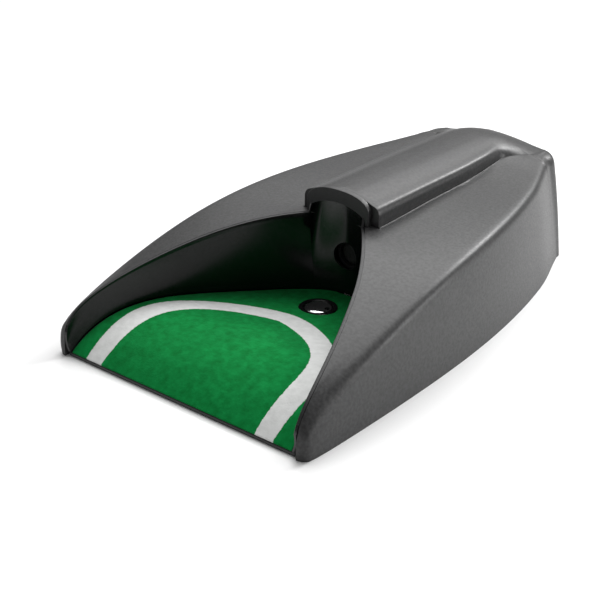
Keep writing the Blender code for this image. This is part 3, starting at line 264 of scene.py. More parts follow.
def slab(name, stations, smooth_angle=40):
    """A solid from stations of (upper points, lower points), both running from left to right."""
    points, faces = [], []
    count = len(stations[0][0])
    for upper, lower in stations:
        points += list(upper) + list(lower)
    stride = 2 * count
    for row in range(len(stations) - 1):
        here, there = row * stride, (row + 1) * stride
        for k in range(count - 1):
            faces.append((here + k, there + k, there + k + 1, here + k + 1))
            faces.append((here + count + k, here + count + k + 1, there + count + k + 1, there + count + k))
        for k in (0, count - 1):
            faces.append((here + k, here + count + k, there + count + k, there + k))
    for start in (0, (len(stations) - 1) * stride):
        for k in range(count - 1):
            faces.append((start + k, start + k + 1, start + count + k + 1, start + count + k))
    tidy = [tuple(dict.fromkeys(face)) for face in faces]
    return from_faces(name, points, tidy, smooth_angle)


def lathe(name, profile, axis, centre, steps=96, smooth_angle=40):
    """A profile of (radius, place along the axis) turned round the axis Y or Z through centre."""
    points, rows = [], []
    for radius, along in profile:
        count = 1 if radius == 0 else steps
        rows.append([len(points) + k % count for k in range(steps)])
        for k in range(count):
            c, s = radius * math.cos(math.tau * k / steps), radius * math.sin(math.tau * k / steps)
            place = (s, along, c) if axis == "Y" else (c, s, along)
            points.append([a + b for a, b in zip(place, centre)])
    faces = []
    closed = profile[0][0] > 0
    for a, b in zip(rows, rows[1:] + rows[:1] if closed else rows[1:]):
        for k in range(steps):
            loop = tuple(dict.fromkeys((a[k], a[(k + 1) % steps], b[(k + 1) % steps], b[k])))
            if len(loop) > 2:
                faces.append(loop)
    return from_faces(name, points, faces, smooth_angle)


def rod(name, radius, start, end, axis, centre, steps=64):
    return lathe(name, [(0, start), (radius, start), (radius, end), (0, end)], axis, centre, steps)


def box(name, low, high):
    corners = [(x, y, z) for x in (low[0], high[0]) for y in (low[1], high[1]) for z in (low[2], high[2])]
    faces = [(0, 1, 3, 2), (4, 6, 7, 5), (0, 4, 5, 1), (2, 3, 7, 6), (0, 2, 6, 4), (1, 5, 7, 3)]
    return from_faces(name, corners, faces)


def apply_modifiers(obj):
    """Puts the result of the object's modifiers into its mesh."""
    graph = bpy.context.evaluated_depsgraph_get()
    made = bpy.data.meshes.new_from_object(obj.evaluated_get(graph))
    obj.modifiers.clear()
    old = obj.data
    obj.data = made
    bpy.data.meshes.remove(old)


def cut(obj, cutters, smooth_angle=40):
    """Takes the cutters away from obj, one after the other, and removes them."""
    for cutter in cutters:
        step = obj.modifiers.new("cut", "BOOLEAN")
        step.operation = "DIFFERENCE"
        step.object = cutter
        bpy.context.view_layer.update()
        apply_modifiers(obj)
        bpy.data.objects.remove(cutter, do_unlink=True)
    obj.data.shade_smooth()
    obj.data.set_sharp_from_angle(angle=math.radians(smooth_angle))
    return obj


# ---------- housing shell ----------

def rear_bend(x, y):
    """Y of a point of the station at y, moved forward where the rear wall curves round."""
    return y - REAR_SAG * ease(y, SAG_START_Y, REAR_Y) * (x / SAG_X) ** 2


def round_in(y, limit, radius):
    """How far a corner of this radius draws in near its limit."""
    run = min(max(y - (limit - radius), 0.0), radius)
    return radius - math.sqrt(radius * radius - run * run)


def cap_height(x, crease, crown):
    return crease[1] + (crown - crease[1]) * math.cos(math.pi / 2 * min(x / crease[0], 1.0)) ** 1.8


def spine_points(shape_y, crease, drop, wall, inset):
    """Foot of the spine and its section at a station; inset draws it in where a front edge is rounded."""
    shell = min(wall, HOOD_WALL) + inset
    hood = shape_y < RIDGE_FRONT_Y
    foot_x = HOOD_HALF_WIDTH if hood else RIDGE_HALF_WIDTH
    rounding = ease(shape_y, *ROUNDING_Y)
    section = [((1 - rounding) * np.array(start) + rounding * np.array(end))
               for start, end in zip(HOOD_SECTION if hood else RIDGE_SECTION, RIDGE_END_SECTION)]
    narrow = 1 - RIDGE_NARROWING * ease(shape_y, *NARROWING_Y)
    foot_z = smooth_level(SPINE_FOOT, shape_y) - drop
    crown = smooth_level(SPINE_CROWN, shape_y) - drop + wall - shell
    rise = (crown - foot_z) / (SECTION_CROWN - SECTION_FOOT)
    spread = ease(shape_y, *CAP_BLEND_Y)
    made = []
    for (x, z), place in zip([(foot_x, SECTION_FOOT)] + section, CAP_PLACES):
        x, z = max(x * narrow - shell, 0.0), foot_z + (z - SECTION_FOOT) * rise
        wide = place * min(1.0, (crease[0] - CAP_MARGIN) / CAP_PLACES[0])
        made.append((x + (wide - x) * spread, z + (cap_height(wide, crease, crown) - z) * spread))
    return made


def panel_slope(y):
    """Slope across the panel, from the crease to the bay's rim or the spine's foot."""
    crease_x, crease_z = at_y(CREASE_CURVE, y)
    if y < HOOD_FRONT_Y:
        inner_x, inner_z = at_y(RIM_CURVE, y)
    else:
        inner_x, inner_z = HOOD_HALF_WIDTH, smooth_level(SPINE_FOOT, y)
    return (inner_z - crease_z) / (inner_x - crease_x)


def smoothed_slope(y):
    """The panel's slope, averaged near the hood's front so that the panel runs past it without a line."""
    reach = PANEL_SMOOTHING * (1 - ease(abs(y - HOOD_FRONT_Y), PANEL_SMOOTHING, 3 * PANEL_SMOOTHING))
    shares = np.linspace(-1.0, 1.0, 40)
    weights = 1 + np.cos(math.pi * shares)
    slopes = np.array([panel_slope(y + reach * share) for share in shares])
    return float((weights * slopes).sum() / weights.sum())


SMOOTHED_YS = np.linspace(HOOD_FRONT_Y - 3 * PANEL_SMOOTHING, HOOD_FRONT_Y + 3 * PANEL_SMOOTHING, 73)
SMOOTHED_SLOPES = [smoothed_slope(y) for y in SMOOTHED_YS]


def slope_change(y):
    """What the averaging adds to the panel's slope."""
    if not SMOOTHED_YS[0] < y < SMOOTHED_YS[-1]:
        return 0.0
    return float(np.interp(y, SMOOTHED_YS, SMOOTHED_SLOPES)) - panel_slope(y)


def panel_height(x, y):
    crease_x, crease_z = at_y(CREASE_CURVE, y)
    return crease_z + (panel_slope(y) + slope_change(y)) * (x - crease_x)


def foot_bead(foot, size):
    """A small rounded lip along the foot of the ridge, as points from the panel inwards."""
    angles = [math.radians(15 + 30 * k) for k in range(6)]
    return [(foot[0] + size * (1 + math.cos(a)), foot[1] + size * math.sin(a)) for a in angles]


def lifted(place, step, crease_z):
    """The place, raised by the rear cap's step, which fades out down the side and towards the middle."""
    x, z = place
    return np.array((x, z + step * min(z / crease_z, 1.0) * ease(x, *CAP_STEP_X)))


def housing_half(y, shape_y, wall, inset=0.0):
    """Edge of one half at a station, from the bottom edge over the crease to the middle, as (x, z)."""
    rear = REAR_Y - wall
    corner = round_in(y, rear, CORNER_RADIUS) + wall
    drop = round_in(y, rear, TOP_EDGE_RADIUS) + wall
    bottom_x = at_y(BOTTOM_CURVE, shape_y)[0] - corner - SIDE_CLEARANCE
    crease_x, crease_z = at_y(CREASE_CURVE, shape_y)
    nose = round_in(-y, -NOSE_Y, NOSE_RADIUS)
    bottom_x, crease_x = bottom_x - nose, crease_x - corner - nose
    crease_z -= drop + NOSE_DROP * nose
    crease = (crease_x, crease_z)
    bead = 0.0
    if shape_y >= HOOD_FRONT_Y:
        spine = spine_points(shape_y, crease, drop, wall, inset)
        anchor_x = HOOD_HALF_WIDTH + (spine[0][0] - HOOD_HALF_WIDTH) * ease(shape_y, *ANCHOR_Y)
        anchor = (anchor_x, spine[0][1])
        slope = (anchor[1] - crease_z) / (anchor[0] - crease_x) + slope_change(shape_y)
        foot = (spine[0][0], crease_z + slope * (spine[0][0] - crease_x))
        if shape_y >= RIDGE_FRONT_Y and wall == 0.0:
            bead = BEAD_RADIUS * (1 - ease(shape_y, *BEAD_FADE_Y))
    else:
        inner_x, inner_z = at_y(RIM_CURVE, shape_y)
        anchor_x = inner_x + NOSE_LIP * nose
        anchor_z = inner_z - wall - NOSE_DROP * nose
        slope = (anchor_z - crease_z) / (anchor_x - crease_x) + slope_change(shape_y)
        foot = (anchor_x, crease_z + slope * (anchor_x - crease_x))
        spine = [(foot[0] * share, foot[1]) for share in np.linspace(1.0, 0.0, len(HOOD_SECTION) + 1)]
    fillet = min(INNER_FILLET if wall else CREASE_FILLET, 0.25 * crease_z)
    start = np.array((crease_x - fillet, crease_z - fillet * slope))
    side_x = crease_x + (bottom_x - crease_x) * fillet / crease_z
    side_end = (side_x, crease_z - fillet)
    middle = ((bottom_x + side_x) / 2 + SIDE_BOW, crease_z / 2)
    half = quadratic((bottom_x, 0.0), middle, side_end, 8) + quadratic(side_end, crease, start, 9)
    panel_x = max(foot[0] + BEAD_REACH * bead, RIDGE_HALF_WIDTH + BEAD_REACH * BEAD_RADIUS)
    bow_x = max(anchor_x, HOOD_HALF_WIDTH)
    step = CAP_STEP * ease(shape_y, CAP_Y - CAP_STEP_RUN, CAP_Y + CAP_STEP_RUN)
    for k in range(16):
        place = start + (panel_x - start[0]) * (k / 15) ** 0.9 * np.array((1.0, slope))
        share = min((place[0] - start[0]) / (bow_x - start[0]), 1.0)
        half.append(place + np.array((0.0, PANEL_BOW * 2.2 * share * (1 - share) ** 1.5)))
    half += foot_bead(foot, bead)
    half = [lifted(place, step, crease_z) for place in half]
    section = [lifted(place, step, crease_z) for place in [foot] + spine[1:]]
    return half + smooth_path(section, 4)


def lower_row(whole, edge):
    """X of the points under an outline, always growing from one edge to the other."""
    across = np.array([x for x, z in whole])
    growing = np.maximum.accumulate(across * edge / across.max())
    return 0.97 * growing + 0.03 * np.linspace(-edge, edge, len(across))


def housing_stations(stations, wall, floor_z):
    made = []
    for y, shape_y, inset in stations:
        half = housing_half(y, shape_y, wall, inset)
        edge = half[0][0]
        half[0] = np.array((edge, floor_z))
        whole = [(-x, z) for x, z in half] + [(x, z) for x, z in half[::-1]][1:]
        upper = [(x, rear_bend(x, y), z) for x, z in whole]
        lower = [(x, rear_bend(x, y), floor_z) for x in lower_row(whole, edge)]
        lower[0], lower[-1] = upper[0], upper[-1]
        made.append((upper, lower))
    return made


def front_edge(y):
    """Stations (y, shape y, inset) that round a front edge of the spine, which starts at y."""
    made = [(y - FRONT_FACE_RUN, y - FRONT_FACE_RUN, 0.0)]
    for k in range(5):
        angle = math.radians(90 * k / 4)
        place = y + FRONT_EDGE_RADIUS * (1 - math.cos(angle))
        made.append((place, place, FRONT_EDGE_RADIUS * (1 - math.sin(angle))))
    return made


def shell_stations():
    nose = [NOSE_Y + NOSE_RADIUS * (1 - math.cos(math.radians(90 * k / 8))) for k in range(9)]
    bay = list(np.linspace(nose[-1], HOOD_FRONT_Y, 48)[1:-1])
    ridge = list(np.linspace(RIDGE_FRONT_Y + FRONT_EDGE_RADIUS, CAP_BLEND_Y[0], 44)[1:])
    cap = list(np.linspace(CAP_BLEND_Y[0], CAP_Y - CAP_STEP_RUN, 10)[1:])
    cap += [CAP_Y - 0.0001, CAP_Y, CAP_Y + 0.0001]
    corner_y = REAR_Y - CORNER_RADIUS
    rear = list(np.linspace(CAP_Y + 0.0003, corner_y, 9))
    rear += [corner_y + CORNER_RADIUS * math.sin(math.radians(90 * k / 14)) for k in range(1, 15)]
    plain = [[(float(y), float(y), 0.0) for y in row] for row in (nose + bay, ridge + cap + rear)]
    return plain[0] + front_edge(HOOD_FRONT_Y) + front_edge(RIDGE_FRONT_Y) + plain[1]


def hollow_stations():
    made = []
    for y, shape_y, inset in shell_stations():
        if inset or not HOLLOW_Y[0] < y < HOLLOW_Y[1]:
            continue
        shift = -0.0008 if abs(y - HOOD_FRONT_Y) < 0.0001 else 0.0
        shift = WALL if RIDGE_FRONT_Y - 0.0001 < y < 0.126 else shift
        made.append((y + shift, shape_y, 0.0))
    return made + [(REAR_Y - WALL, REAR_Y - WALL, 0.0)]


def rim_place(share, outward=0.0):
    """Point of the bay wall's upper edge; near the hood the wall draws in, to pass inside the hood."""
    k = int(share * (len(RIM_CURVE) - 1))
    here = Vector(RIM_CURVE[k])
    run = Vector(RIM_CURVE[min(k + 1, len(RIM_CURVE) - 1)]) - Vector(RIM_CURVE[max(k - 1, 0)])
    normal = Vector((run.y, -run.x, 0.0)).normalized()
    return here + normal * (outward - RIM_DRAW_IN * ease(share, DRAW_IN_START, 1.0))


def rim_prism():
    """Upright cutter over the bay's plan, just outside the bay wall."""
    edge = [rim_place(share, LIP_WIDTH + CLEARANCE) for share in np.linspace(0.0, 1.0, 60)]
    above, below, ahead = 0.09, -0.01, -0.01
    stations = []
    for x, y in [(edge[0].x, ahead)] + [(p.x, p.y) for p in edge]:
        stations.append(([(-x, y, above), (x, y, above)], [(-x, y, below), (x, y, below)]))
    return slab("rim_cutter", stations)


def housing_shell():
    shell = slab("housing_shell", housing_stations(shell_stations(), 0.0, 0.0), 38)
    hollow = slab("hollow", housing_stations(hollow_stations(), WALL, -0.001))
    cutters = [rod("jack_hole", JACK_HOLE_RADIUS, 0.255, BEHIND_Y, "Y", (JACK_X, 0, JACK_Z)),
               box("knob_slot", (KNOB_X - KNOB_SLOT_HALF_WIDTH, 0.258, KNOB_SLOT_Z[0]),
                   (KNOB_X + KNOB_SLOT_HALF_WIDTH, BEHIND_Y, KNOB_SLOT_Z[1])),
               box("door_slot", (-DOOR_HALF_WIDTH, 0.260, -0.001),
                   (DOOR_HALF_WIDTH, BEHIND_Y, DOOR_SLOT_TOP)),
               rim_prism(), hollow]
    cut(shell, cutters, 38)
    # Painted shade: the forward-facing front faces of the hood and ridge take the darker slot 1 in place of
    # their shadow.
    for face in shell.data.polygons:
        y = face.center.y - ROOT_Y
        if face.normal.y < -0.75 and HOOD_FRONT_Y - 0.0010 < y < RIDGE_FRONT_Y + 0.0004:
            face.material_index = 1
    return shell


# ---------- bay ----------

def hood_height(x):
    section = HOOD_SECTION[::-1]
    return float(np.interp(x, [place[0] for place in section], [place[1] for place in section]))


def liner_path():
    """Pairs of (bottom point, top point) of the bay wall's inner face, right horn to middle."""
    pairs = []
    for share in np.linspace(LINER_START, 1.0, 56):
        top = rim_place(share)
        floor_y = top.y + LINER_LEAN * share
        top_z = panel_height(top.x, top.y) - LINER_TOP_DROP
        pairs.append(((at_y(FLOOR_CURVE, floor_y)[0], floor_y), (top.x, top.y, top_z)))
    niche_x = HOOD_HALF_WIDTH - HOOD_WALL - 3 * GAP - LINER_WALL
    for k in range(25):
        angle = math.radians(90 * k / 24)
        top_x = niche_x * math.cos(angle)
        top_y = HOOD_FRONT_Y + NICHE_FRONT + NICHE_DEPTH * math.sin(angle)
        top_z = hood_height(top_x + LINER_WALL + HOOD_WALL) - HOOD_WALL - 2 * GAP
        floor_x = NICHE_FLOOR_HALF_WIDTH * math.cos(angle)
        floor_y = float(np.interp(floor_x, FLOOR_CURVE[::-1, 0], FLOOR_CURVE[::-1, 1]))
        pairs.append(((floor_x, floor_y), (top_x, top_y, top_z)))
    return pairs


def liner_column(pair, ahead, behind, lip):
    """Inner and outer points of the wall at one place; lip is how far its top edge reaches outwards."""
    (low_x, low_y), (top_x, top_y, top_z) = pair
    low_z = ramp_top(max(low_y, 0.0)) + GAP
    run = Vector((ahead[1][0] - behind[1][0], ahead[1][1] - behind[1][1], 0.0)).normalized()
    outward = Vector((run.y, -run.x, 0.0))
    inner = []
    for share in np.linspace(0.0, 1.0, 14):
        bow = LINER_BOW * math.sin(math.pi * share) * max(-1.0, min(1.0, low_x / 0.05))
        inner.append(Vector((low_x + (top_x - low_x) * share + bow, low_y + (top_y - low_y) * share,
                             low_z + (top_z - LINER_EDGE - low_z) * share)))
    outer = [p + outward * LINER_WALL for p in inner]
    top = Vector((top_x, top_y, top_z))
    chamfer = LINER_EDGE * 0.3
    inner += [top + outward * chamfer - Vector((0, 0, chamfer)), top + outward * LINER_EDGE]
    lip_end = top + outward * lip
    outer += [lip_end - Vector((0, 0, 2.5 * LINER_EDGE)), lip_end - Vector((0, 0, LINER_EDGE / 2))]
    return inner, outer


def bay_wall():
    pairs = liner_path()
    mirrored = [((-p[0], p[1]), (-q[0], q[1], q[2])) for p, q in pairs[-2::-1]]
    whole = pairs + mirrored
    columns = []
    for k, pair in enumerate(whole):
        ahead, behind = whole[min(k + 1, len(whole) - 1)], whole[max(k - 1, 0)]
        out_of_niche = ease(abs(pair[1][0]), *LIP_FADE_X)
        lip = LINER_WALL + (LIP_WIDTH - LINER_WALL) * out_of_niche
        columns.append(liner_column(pair, ahead, behind, lip))
    wall = slab("bay_wall", columns, 50)
    cut(wall, [rod("kick_hole", KICK_HOLE_RADIUS, 0.115, 0.140, "Y", (0, 0, KICK_Z))], 50)
    for face in wall.data.polygons:
        if face.normal.z > 0.5:
            face.material_index = 1
    return wall


def signed_distance(x, y, curve):
    """Distance of the points (x, y) from the curve, positive on the side of the bay's front middle."""
    line = np.array(curve)
    points = np.stack([x, y], axis=1)
    best = np.full(len(points), 1.0)
    for a, b in zip(line, line[1:]):
        run = b - a
        share = np.clip(((points - a) @ run) / (run @ run), 0.0, 1.0)
        best = np.minimum(best, np.linalg.norm(points - a - share[:, None] * run, axis=1))
    limit = np.interp(y, line[:, 1], line[:, 0])
    return np.where((y < line[-1, 1]) & (x < limit), best, -best)


def felt_sheet():
    """The felt on the ramp, a thin closed sheet with the stripe's distance kept at each point."""
    stations = []
    rows = 150
    for k in range(rows):
        y = FELT_FRONT_Y + (FELT_REAR_Y - FELT_FRONT_Y) * (1 - (1 - k / (rows - 1)) ** 1.25)
        half = max(at_y(FLOOR_CURVE, y)[0] - FELT_MARGIN, FELT_MIN_HALF_WIDTH)
        edge = [math.sin(math.pi / 2 * s) for s in np.linspace(-1.0, 1.0, 121)]
        top = [(half * s, y, ramp_top(y) - 0.0002 * max(abs(s) - 0.992, 0.0) / 0.008) for s in edge]
        bottom = [(half * s, y, ramp_top(y) - FELT_THICKNESS) for s in edge]
        stations.append((top, bottom))
    felt = slab("felt_sheet", stations, 30)
    cut(felt, [rod("felt_hole", BEZEL_RADIUS + CLEARANCE, 0.0, 0.02, "Z", (0, HOLE_Y, 0), 96)], 30)
    places = np.empty(len(felt.data.vertices) * 3)
    felt.data.vertices.foreach_get("co", places)
    places = places.reshape(-1, 3)
    x, y = np.abs(places[:, 0]), places[:, 1] - ROOT_Y
    band = np.minimum(signed_distance(x, y, bezier(STRIPE_OUTER, 80)),
                      -signed_distance(x, y, bezier(STRIPE_INNER, 80)))
    felt.data.attributes.new("stripe", "FLOAT", "POINT").data.foreach_set("value", band * 1000)
    return felt


def trigger_ring():
    inner = BUTTON_RADIUS + GAP
    flange_z = HOLE_TOP - BEZEL_FLANGE
    wide, slight = BEZEL_ROUNDINGS
    outer_round = [(BEZEL_RADIUS - wide + wide * math.cos(a), HOLE_TOP - wide + wide * math.sin(a))
                   for a in (math.radians(15 * k) for k in range(7))]
    inner_round = [(inner + slight - slight * math.sin(a), HOLE_TOP - slight + slight * math.cos(a))
                   for a in (math.radians(18 * k) for k in range(6))]
    profile = [(inner, BEZEL_FOOT_Z), (BEZEL_NECK_RADIUS, BEZEL_FOOT_Z), (BEZEL_NECK_RADIUS, flange_z),
               (BEZEL_RADIUS, flange_z)]
    return lathe("trigger_ring", profile + outer_round + inner_round, "Z", (0, HOLE_Y, 0), 96)


def trigger_dome():
    crown = [(0, DOME_BASE_Z + DOME_RISE)]
    dome = [(BUTTON_RADIUS * math.sin(a), DOME_BASE_Z + DOME_RISE * math.cos(a))
            for a in (math.radians(5 * k) for k in range(1, 19))]
    stem = [(BUTTON_RADIUS, BUTTON_UNDERSIDE_Z), (STEM_RADIUS, BUTTON_UNDERSIDE_Z),
            (STEM_RADIUS, STEM_END_Z), (0, STEM_END_Z)]
    return lathe("trigger_dome", crown + dome + stem, "Z", (0, HOLE_Y, 0), 96)


# ---------- materials ----------

class Finish:
    """A Principled material with a few helpers for its nodes."""

    def __init__(self, name):
        self.made = bpy.data.materials.new(name)
        self.made.use_nodes = True
        self.tree = self.made.node_tree
        self.shader = self.tree.nodes["Principled BSDF"]
        self.place = self.tree.nodes.new("ShaderNodeTexCoord").outputs["Object"]

    def node(self, kind, **settings):
        made = self.tree.nodes.new("ShaderNode" + kind)
        for key, value in settings.items():
            setattr(made, key, value)
        return made

    def link(self, source, target):
        self.tree.links.new(source, target)

    def noise(self, scale, detail=2.0, stretch=(1.0, 1.0, 1.0)):
        mapping = self.node("Mapping")
        mapping.inputs["Scale"].default_value = stretch
        made = self.node("TexNoise")
        made.inputs["Scale"].default_value = scale
        made.inputs["Detail"].default_value = detail
        self.link(self.place, mapping.inputs["Vector"])
        self.link(mapping.outputs["Vector"], made.inputs["Vector"])
        return made.outputs["Fac"]

    def ramp(self, value, stops):
        """A colour ramp over value; stops are (place, colour)."""
        made = self.node("ValToRGB")
        elements = made.color_ramp.elements
        while len(elements) < len(stops):
            elements.new(1.0)
        for element, (place, color) in zip(elements, stops):
            element.position = place
            element.color = (*color, 1.0)
        self.link(value, made.inputs["Fac"])
        return made.outputs["Color"]

    def spread(self, value, low, high, start=0.3, end=0.7):
        """Maps value from start..end to low..high."""
        made = self.node("MapRange")
        for socket, number in zip(("From Min", "From Max", "To Min", "To Max"), (start, end, low, high)):
            made.inputs[socket].default_value = number
        self.link(value, made.inputs["Value"])
        return made.outputs["Result"]

    def mix(self, share, one, two, blend="MIX"):
        made = self.node("Mix", data_type="RGBA", blend_type=blend)
        if isinstance(share, float):
            made.inputs["Factor"].default_value = share
        else:
            self.link(share, made.inputs["Factor"])
        for socket, value in ((made.inputs[6], one), (made.inputs[7], two)):
            if isinstance(value, tuple):
                socket.default_value = (*value, 1.0)
            else:
                self.link(value, socket)
        return made.outputs[2]

    def bump(self, height, strength, distance):
        made = self.node("Bump")
        made.inputs["Strength"].default_value = strength
        made.inputs["Distance"].default_value = distance
        self.link(height, made.inputs["Height"])
        return made.outputs["Normal"]

    def set(self, **values):
        """Sets or links the shader's sockets; names use _ for a space."""
        for key, value in values.items():
            socket = self.shader.inputs[key.replace("_", " ")]
            if isinstance(value, bpy.types.NodeSocket):
                self.link(value, socket)
            else:
                socket.default_value = value
        return self


def moulded(name, color, roughness, grain=1400.0, depth=0.00004, variation=0.15, metallic=0.0):
    """Moulded plastic, rubber or plain metal: fine grain, slight colour and gloss variation."""
    finish = Finish(name)
    fine = finish.noise(grain, 3.0)
    broad = finish.noise(24.0, 3.0)
    dark = tuple(c * (1 - variation) for c in color)
    light = tuple(min(c * (1 + variation), 1.0) for c in color)
    finish.set(Base_Color=finish.ramp(broad, [(0.3, dark), (0.7, light)]),
               Roughness=finish.spread(fine, roughness * 0.85, min(roughness * 1.15, 1.0)),
               Normal=finish.bump(fine, 0.35, depth), Metallic=metallic)
    return finish.made


def brushed(name, color, roughness, stretch=(1.0, 30.0, 1.0)):
    """Sheet or turned metal with fine lines along one direction."""
    finish = Finish(name)
    lines = finish.noise(260.0, 4.0, stretch)
    broad = finish.noise(60.0, 2.0)
    dark = tuple(c * 0.82 for c in color)
    finish.set(Base_Color=finish.ramp(broad, [(0.35, dark), (0.65, color)]),
               Roughness=finish.spread(lines, roughness * 0.7, roughness * 1.4),
               Normal=finish.bump(lines, 0.15, 0.00003), Metallic=1.0)
    return finish.made


def shell_finish():
    """Dark grey plastic with a fine spark-eroded texture."""
    finish = Finish("shell_finish")
    grain = finish.noise(1300.0, 2.0)
    coarse = finish.noise(620.0, 2.0)
    broad = finish.noise(14.0, 2.0)
    base = finish.ramp(broad, [(0.3, (0.032, 0.032, 0.033)), (0.7, (0.037, 0.037, 0.037))])
    speck = finish.ramp(coarse, [(0.35, (0.68, 0.68, 0.68)), (0.65, (1.24, 1.24, 1.24))])
    both = finish.mix(0.6, coarse, grain)
    finish.set(Base_Color=finish.mix(1.0, base, speck, "MULTIPLY"),
               Roughness=finish.spread(grain, 0.34, 0.46),
               Normal=finish.bump(both, 0.5, 0.00006), Specular_IOR_Level=0.36)
    return finish.made


def painted_shade_and_matte_lip_finish():
    """Painted shade on the hood's smooth front edge: a near-black copy of the shell for the forward-facing
    front faces of the hood and ridge, which lie in shade; also the matte top of the bay wall's lip.
    """
    return moulded("painted_shade_and_matte_lip_finish", (0.010, 0.010, 0.011), 0.50, variation=0.2)


def gloss_finish():
    """Polished black plastic with a faint ripple from moulding."""
    finish = Finish("gloss_finish")
    ripple = finish.noise(22.0, 1.0)
    dust = finish.noise(900.0, 3.0)
    black = finish.ramp(dust, [(0.45, (0.0025, 0.0028, 0.0030)), (0.75, (0.0070, 0.0072, 0.0075))])
    finish.set(Base_Color=black,
               Roughness=finish.spread(dust, 0.16, 0.26),
               Normal=finish.bump(ripple, 0.12, 0.0008))
    return finish.made


def felt_finish():
    """Green felt: short fibres, mottled, with the white stripe printed on it."""
    finish = Finish("felt_finish")
    fibres = finish.noise(900.0, 5.0)
    tufts = finish.noise(260.0, 4.0)
    patches = finish.noise(60.0, 3.0)
    green = finish.ramp(tufts, [(0.30, (0.0010, 0.150, 0.028)), (0.50, (0.0020, 0.185, 0.038)),
                                (0.72, (0.0040, 0.225, 0.050))])
    shade = finish.ramp(patches, [(0.30, (0.92, 0.92, 0.92)), (0.70, (1.08, 1.08, 1.08))])
    green = finish.mix(1.0, green, shade, "MULTIPLY")
    white = finish.ramp(tufts, [(0.30, (0.62, 0.63, 0.62)), (0.70, (0.72, 0.73, 0.72))])
    stripe = finish.node("Attribute", attribute_name="stripe")
    ragged = finish.node("Math", operation="MULTIPLY_ADD")
    finish.link(fibres, ragged.inputs[0])
    ragged.inputs[1].default_value = 1.2
    finish.link(stripe.outputs["Fac"], ragged.inputs[2])
    inside = finish.spread(ragged.outputs[0], 0.0, 1.0, 0.45, 0.75)
    both = finish.mix(0.5, fibres, tufts)
    finish.set(Base_Color=finish.mix(inside, green, white), Roughness=0.95,
               Normal=finish.bump(both, 0.8, 0.0004), Sheen_Weight=0.08, Sheen_Roughness=0.4,
               Specular_IOR_Level=0.05)
    return finish.made


def chrome_finish():
    """Polished chrome with faint handling marks."""
    finish = Finish("chrome_finish")
    marks = finish.noise(500.0, 6.0, (1.0, 12.0, 1.0))
    haze = finish.noise(90.0, 3.0)
    finish.set(Base_Color=finish.ramp(haze, [(0.3, (0.70, 0.70, 0.72)), (0.7, (0.82, 0.82, 0.84))]),
               Roughness=finish.spread(marks, 0.06, 0.14),
               Normal=finish.bump(marks, 0.05, 0.00002), Metallic=1.0)
    return finish.made


def board_finish():
    """Circuit board: green lacquer over copper tracks."""
    finish = Finish("board_finish")
    tracks = finish.node("TexBrick")
    tracks.inputs["Scale"].default_value = 120.0
    tracks.inputs["Mortar Size"].default_value = 0.06
    finish.link(finish.place, tracks.inputs["Vector"])
    for socket, color in (("Color1", (0.012, 0.110, 0.045)), ("Color2", (0.016, 0.130, 0.055)),
                          ("Mortar", (0.030, 0.200, 0.090))):
        tracks.inputs[socket].default_value = (*color, 1.0)
    fine = finish.noise(700.0, 2.0)
    finish.set(Base_Color=tracks.outputs["Color"], Roughness=finish.spread(fine, 0.28, 0.40),
               Normal=finish.bump(tracks.outputs["Fac"], 0.2, 0.00005))
    return finish.made


def finishes():
    """Material for each of the record's slots."""
    return {
        "shell_grey": shell_finish(),
        "gloss_black": gloss_finish(),
        "green_felt": felt_finish(),
        "chrome": chrome_finish(),
        "board_green": board_finish(),
        "black_plastic": moulded("black_plastic_finish", (0.016, 0.016, 0.017), 0.42),
        "white_nylon": moulded("white_nylon_finish", (0.74, 0.73, 0.69), 0.42, variation=0.04),
        "rubber": moulded("rubber_finish", (0.012, 0.012, 0.012), 0.85, 800.0, 0.0001),
        "switch_black": moulded("switch_black_finish", (0.018, 0.018, 0.019), 0.38),
        "switch_red": moulded("switch_red_finish", (0.50, 0.030, 0.025), 0.38, variation=0.06),
        "acetal_black": moulded("acetal_black_finish", (0.020, 0.020, 0.021), 0.30),
        "cell_green": moulded("cell_green_finish", (0.020, 0.170, 0.060), 0.30, variation=0.10),
        "capacitor_sleeve": moulded("capacitor_sleeve_finish", (0.020, 0.030, 0.090), 0.35),
        "relay_blue": moulded("relay_blue_finish", (0.025, 0.110, 0.420), 0.35, variation=0.06),
        "lead_red": moulded("lead_red_finish", (0.520, 0.022, 0.020), 0.45, variation=0.08),
        "lead_black": moulded("lead_black_finish", (0.018, 0.018, 0.018), 0.45),
        "steel": brushed("steel_finish", (0.60, 0.60, 0.62), 0.28),
        "brass": brushed("brass_finish", (0.72, 0.52, 0.22), 0.28),
        "zinc_plate": brushed("zinc_plate_finish", (0.62, 0.63, 0.66), 0.34),
        "motor_can": brushed("motor_can_finish", (0.55, 0.56, 0.58), 0.32, (1.0, 1.0, 20.0)),
        "nickel_sheet": brushed("nickel_sheet_finish", (0.66, 0.63, 0.58), 0.25),
    }


# ---------- scene ----------

def dress_nodes(frame, skins):
    """Gives every carried-over node its slot's material, and rounds the edges of the outer ones."""
    outer = ("base_plate", "battery_door", "putting_deck", "power_switch_knob", "power_jack")
    for name, node in frame["nodes"].items():
        for place in node.material_slots:
            place.material = skins[place.material.name.split(".")[0]]
        if name in outer or name.startswith(("rubber_foot", "base_screw")):
            weld = node.modifiers.new("weld", "WELD")
            weld.merge_threshold = 0.00001
            edge = node.modifiers.new("edges", "BEVEL")
            edge.width = EDGE_BEVEL
            edge.segments = 2
            edge.limit_method = "ANGLE"
            edge.angle_limit = math.radians(40)


def add_piece(obj, body, looks, slot, *nodes):
    """Gives obj its materials, in the order of its faces' indices, and puts it in the nodes' place."""
    for skin in looks:
        obj.data.materials.append(skin)
    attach(obj, body)
    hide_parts(*nodes)
    return obj


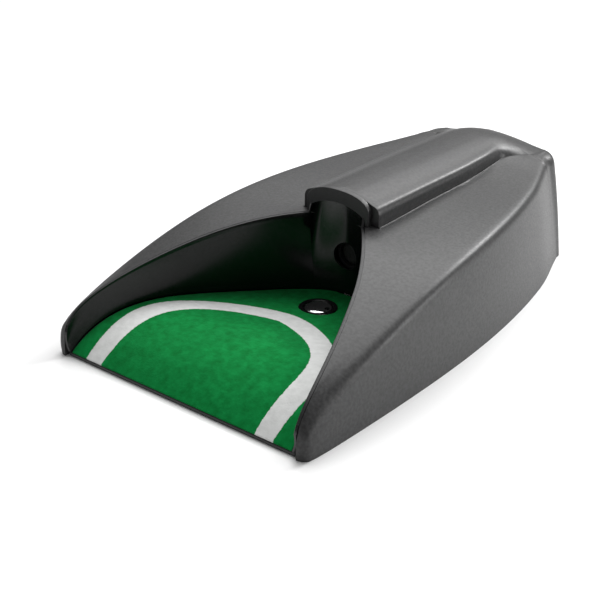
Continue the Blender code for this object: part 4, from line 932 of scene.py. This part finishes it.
def area_light(name, place, target, size, power):
    lamp = bpy.data.lights.new(name, "AREA")
    lamp.size = size
    lamp.energy = power
    obj = bpy.data.objects.new(name, lamp)
    obj.location = place
    obj.rotation_euler = (Vector(target) - Vector(place)).to_track_quat("-Z", "Y").to_euler()
    bpy.context.scene.collection.objects.link(obj)


def studio():
    scene = bpy.context.scene
    lens = bpy.data.cameras.new("camera")
    lens.lens = LENS
    camera = bpy.data.objects.new("camera", lens)
    camera.location = EYE
    camera.rotation_euler = (Vector(TARGET) - Vector(EYE)).to_track_quat("-Z", "Y").to_euler()
    scene.collection.objects.link(camera)
    scene.camera = camera
    mesh = bpy.data.meshes.new("floor")
    mesh.from_pydata([(-3, -3, 0), (3, -3, 0), (3, 3, 0), (-3, 3, 0)], [], [(0, 1, 2, 3)])
    floor = bpy.data.objects.new("floor", mesh)
    scene.collection.objects.link(floor)
    paper = Finish("floor_finish")
    broad = paper.noise(3.0)
    pale = paper.ramp(broad, [(0.3, (0.88, 0.88, 0.88)), (0.7, (0.90, 0.90, 0.90))])
    paper.set(Base_Color=pale, Roughness=0.35)
    mesh.materials.append(paper.made)
    world = bpy.data.worlds.new("studio")
    world.use_nodes = True
    world.node_tree.nodes["Background"].inputs["Color"].default_value = (1, 1, 1, 1)
    world.node_tree.nodes["Background"].inputs["Strength"].default_value = WORLD_STRENGTH
    scene.world = world
    for light in LIGHTS:
        area_light(*light)
    scene.view_settings.view_transform = "Standard"


def main():
    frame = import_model()
    skins = finishes()
    # Slot 1: painted shade for the spine's front faces, and the matte top of the bay wall's lip.
    edge = painted_shade_and_matte_lip_finish()
    dress_nodes(frame, skins)
    add_piece(housing_shell(), "housing", [skins["shell_grey"], edge], "shell_grey", "upper_housing")
    add_piece(bay_wall(), "housing", [skins["gloss_black"], edge], "gloss_black", "bay_liner")
    add_piece(trigger_ring(), "housing", [skins["gloss_black"]], "gloss_black", "hole_bezel")
    add_piece(trigger_dome(), "button", [skins["chrome"]], "chrome", "trigger_button")
    felt = add_piece(felt_sheet(), "housing", [skins["green_felt"]], "green_felt", "green_felt")
    studio()


main()
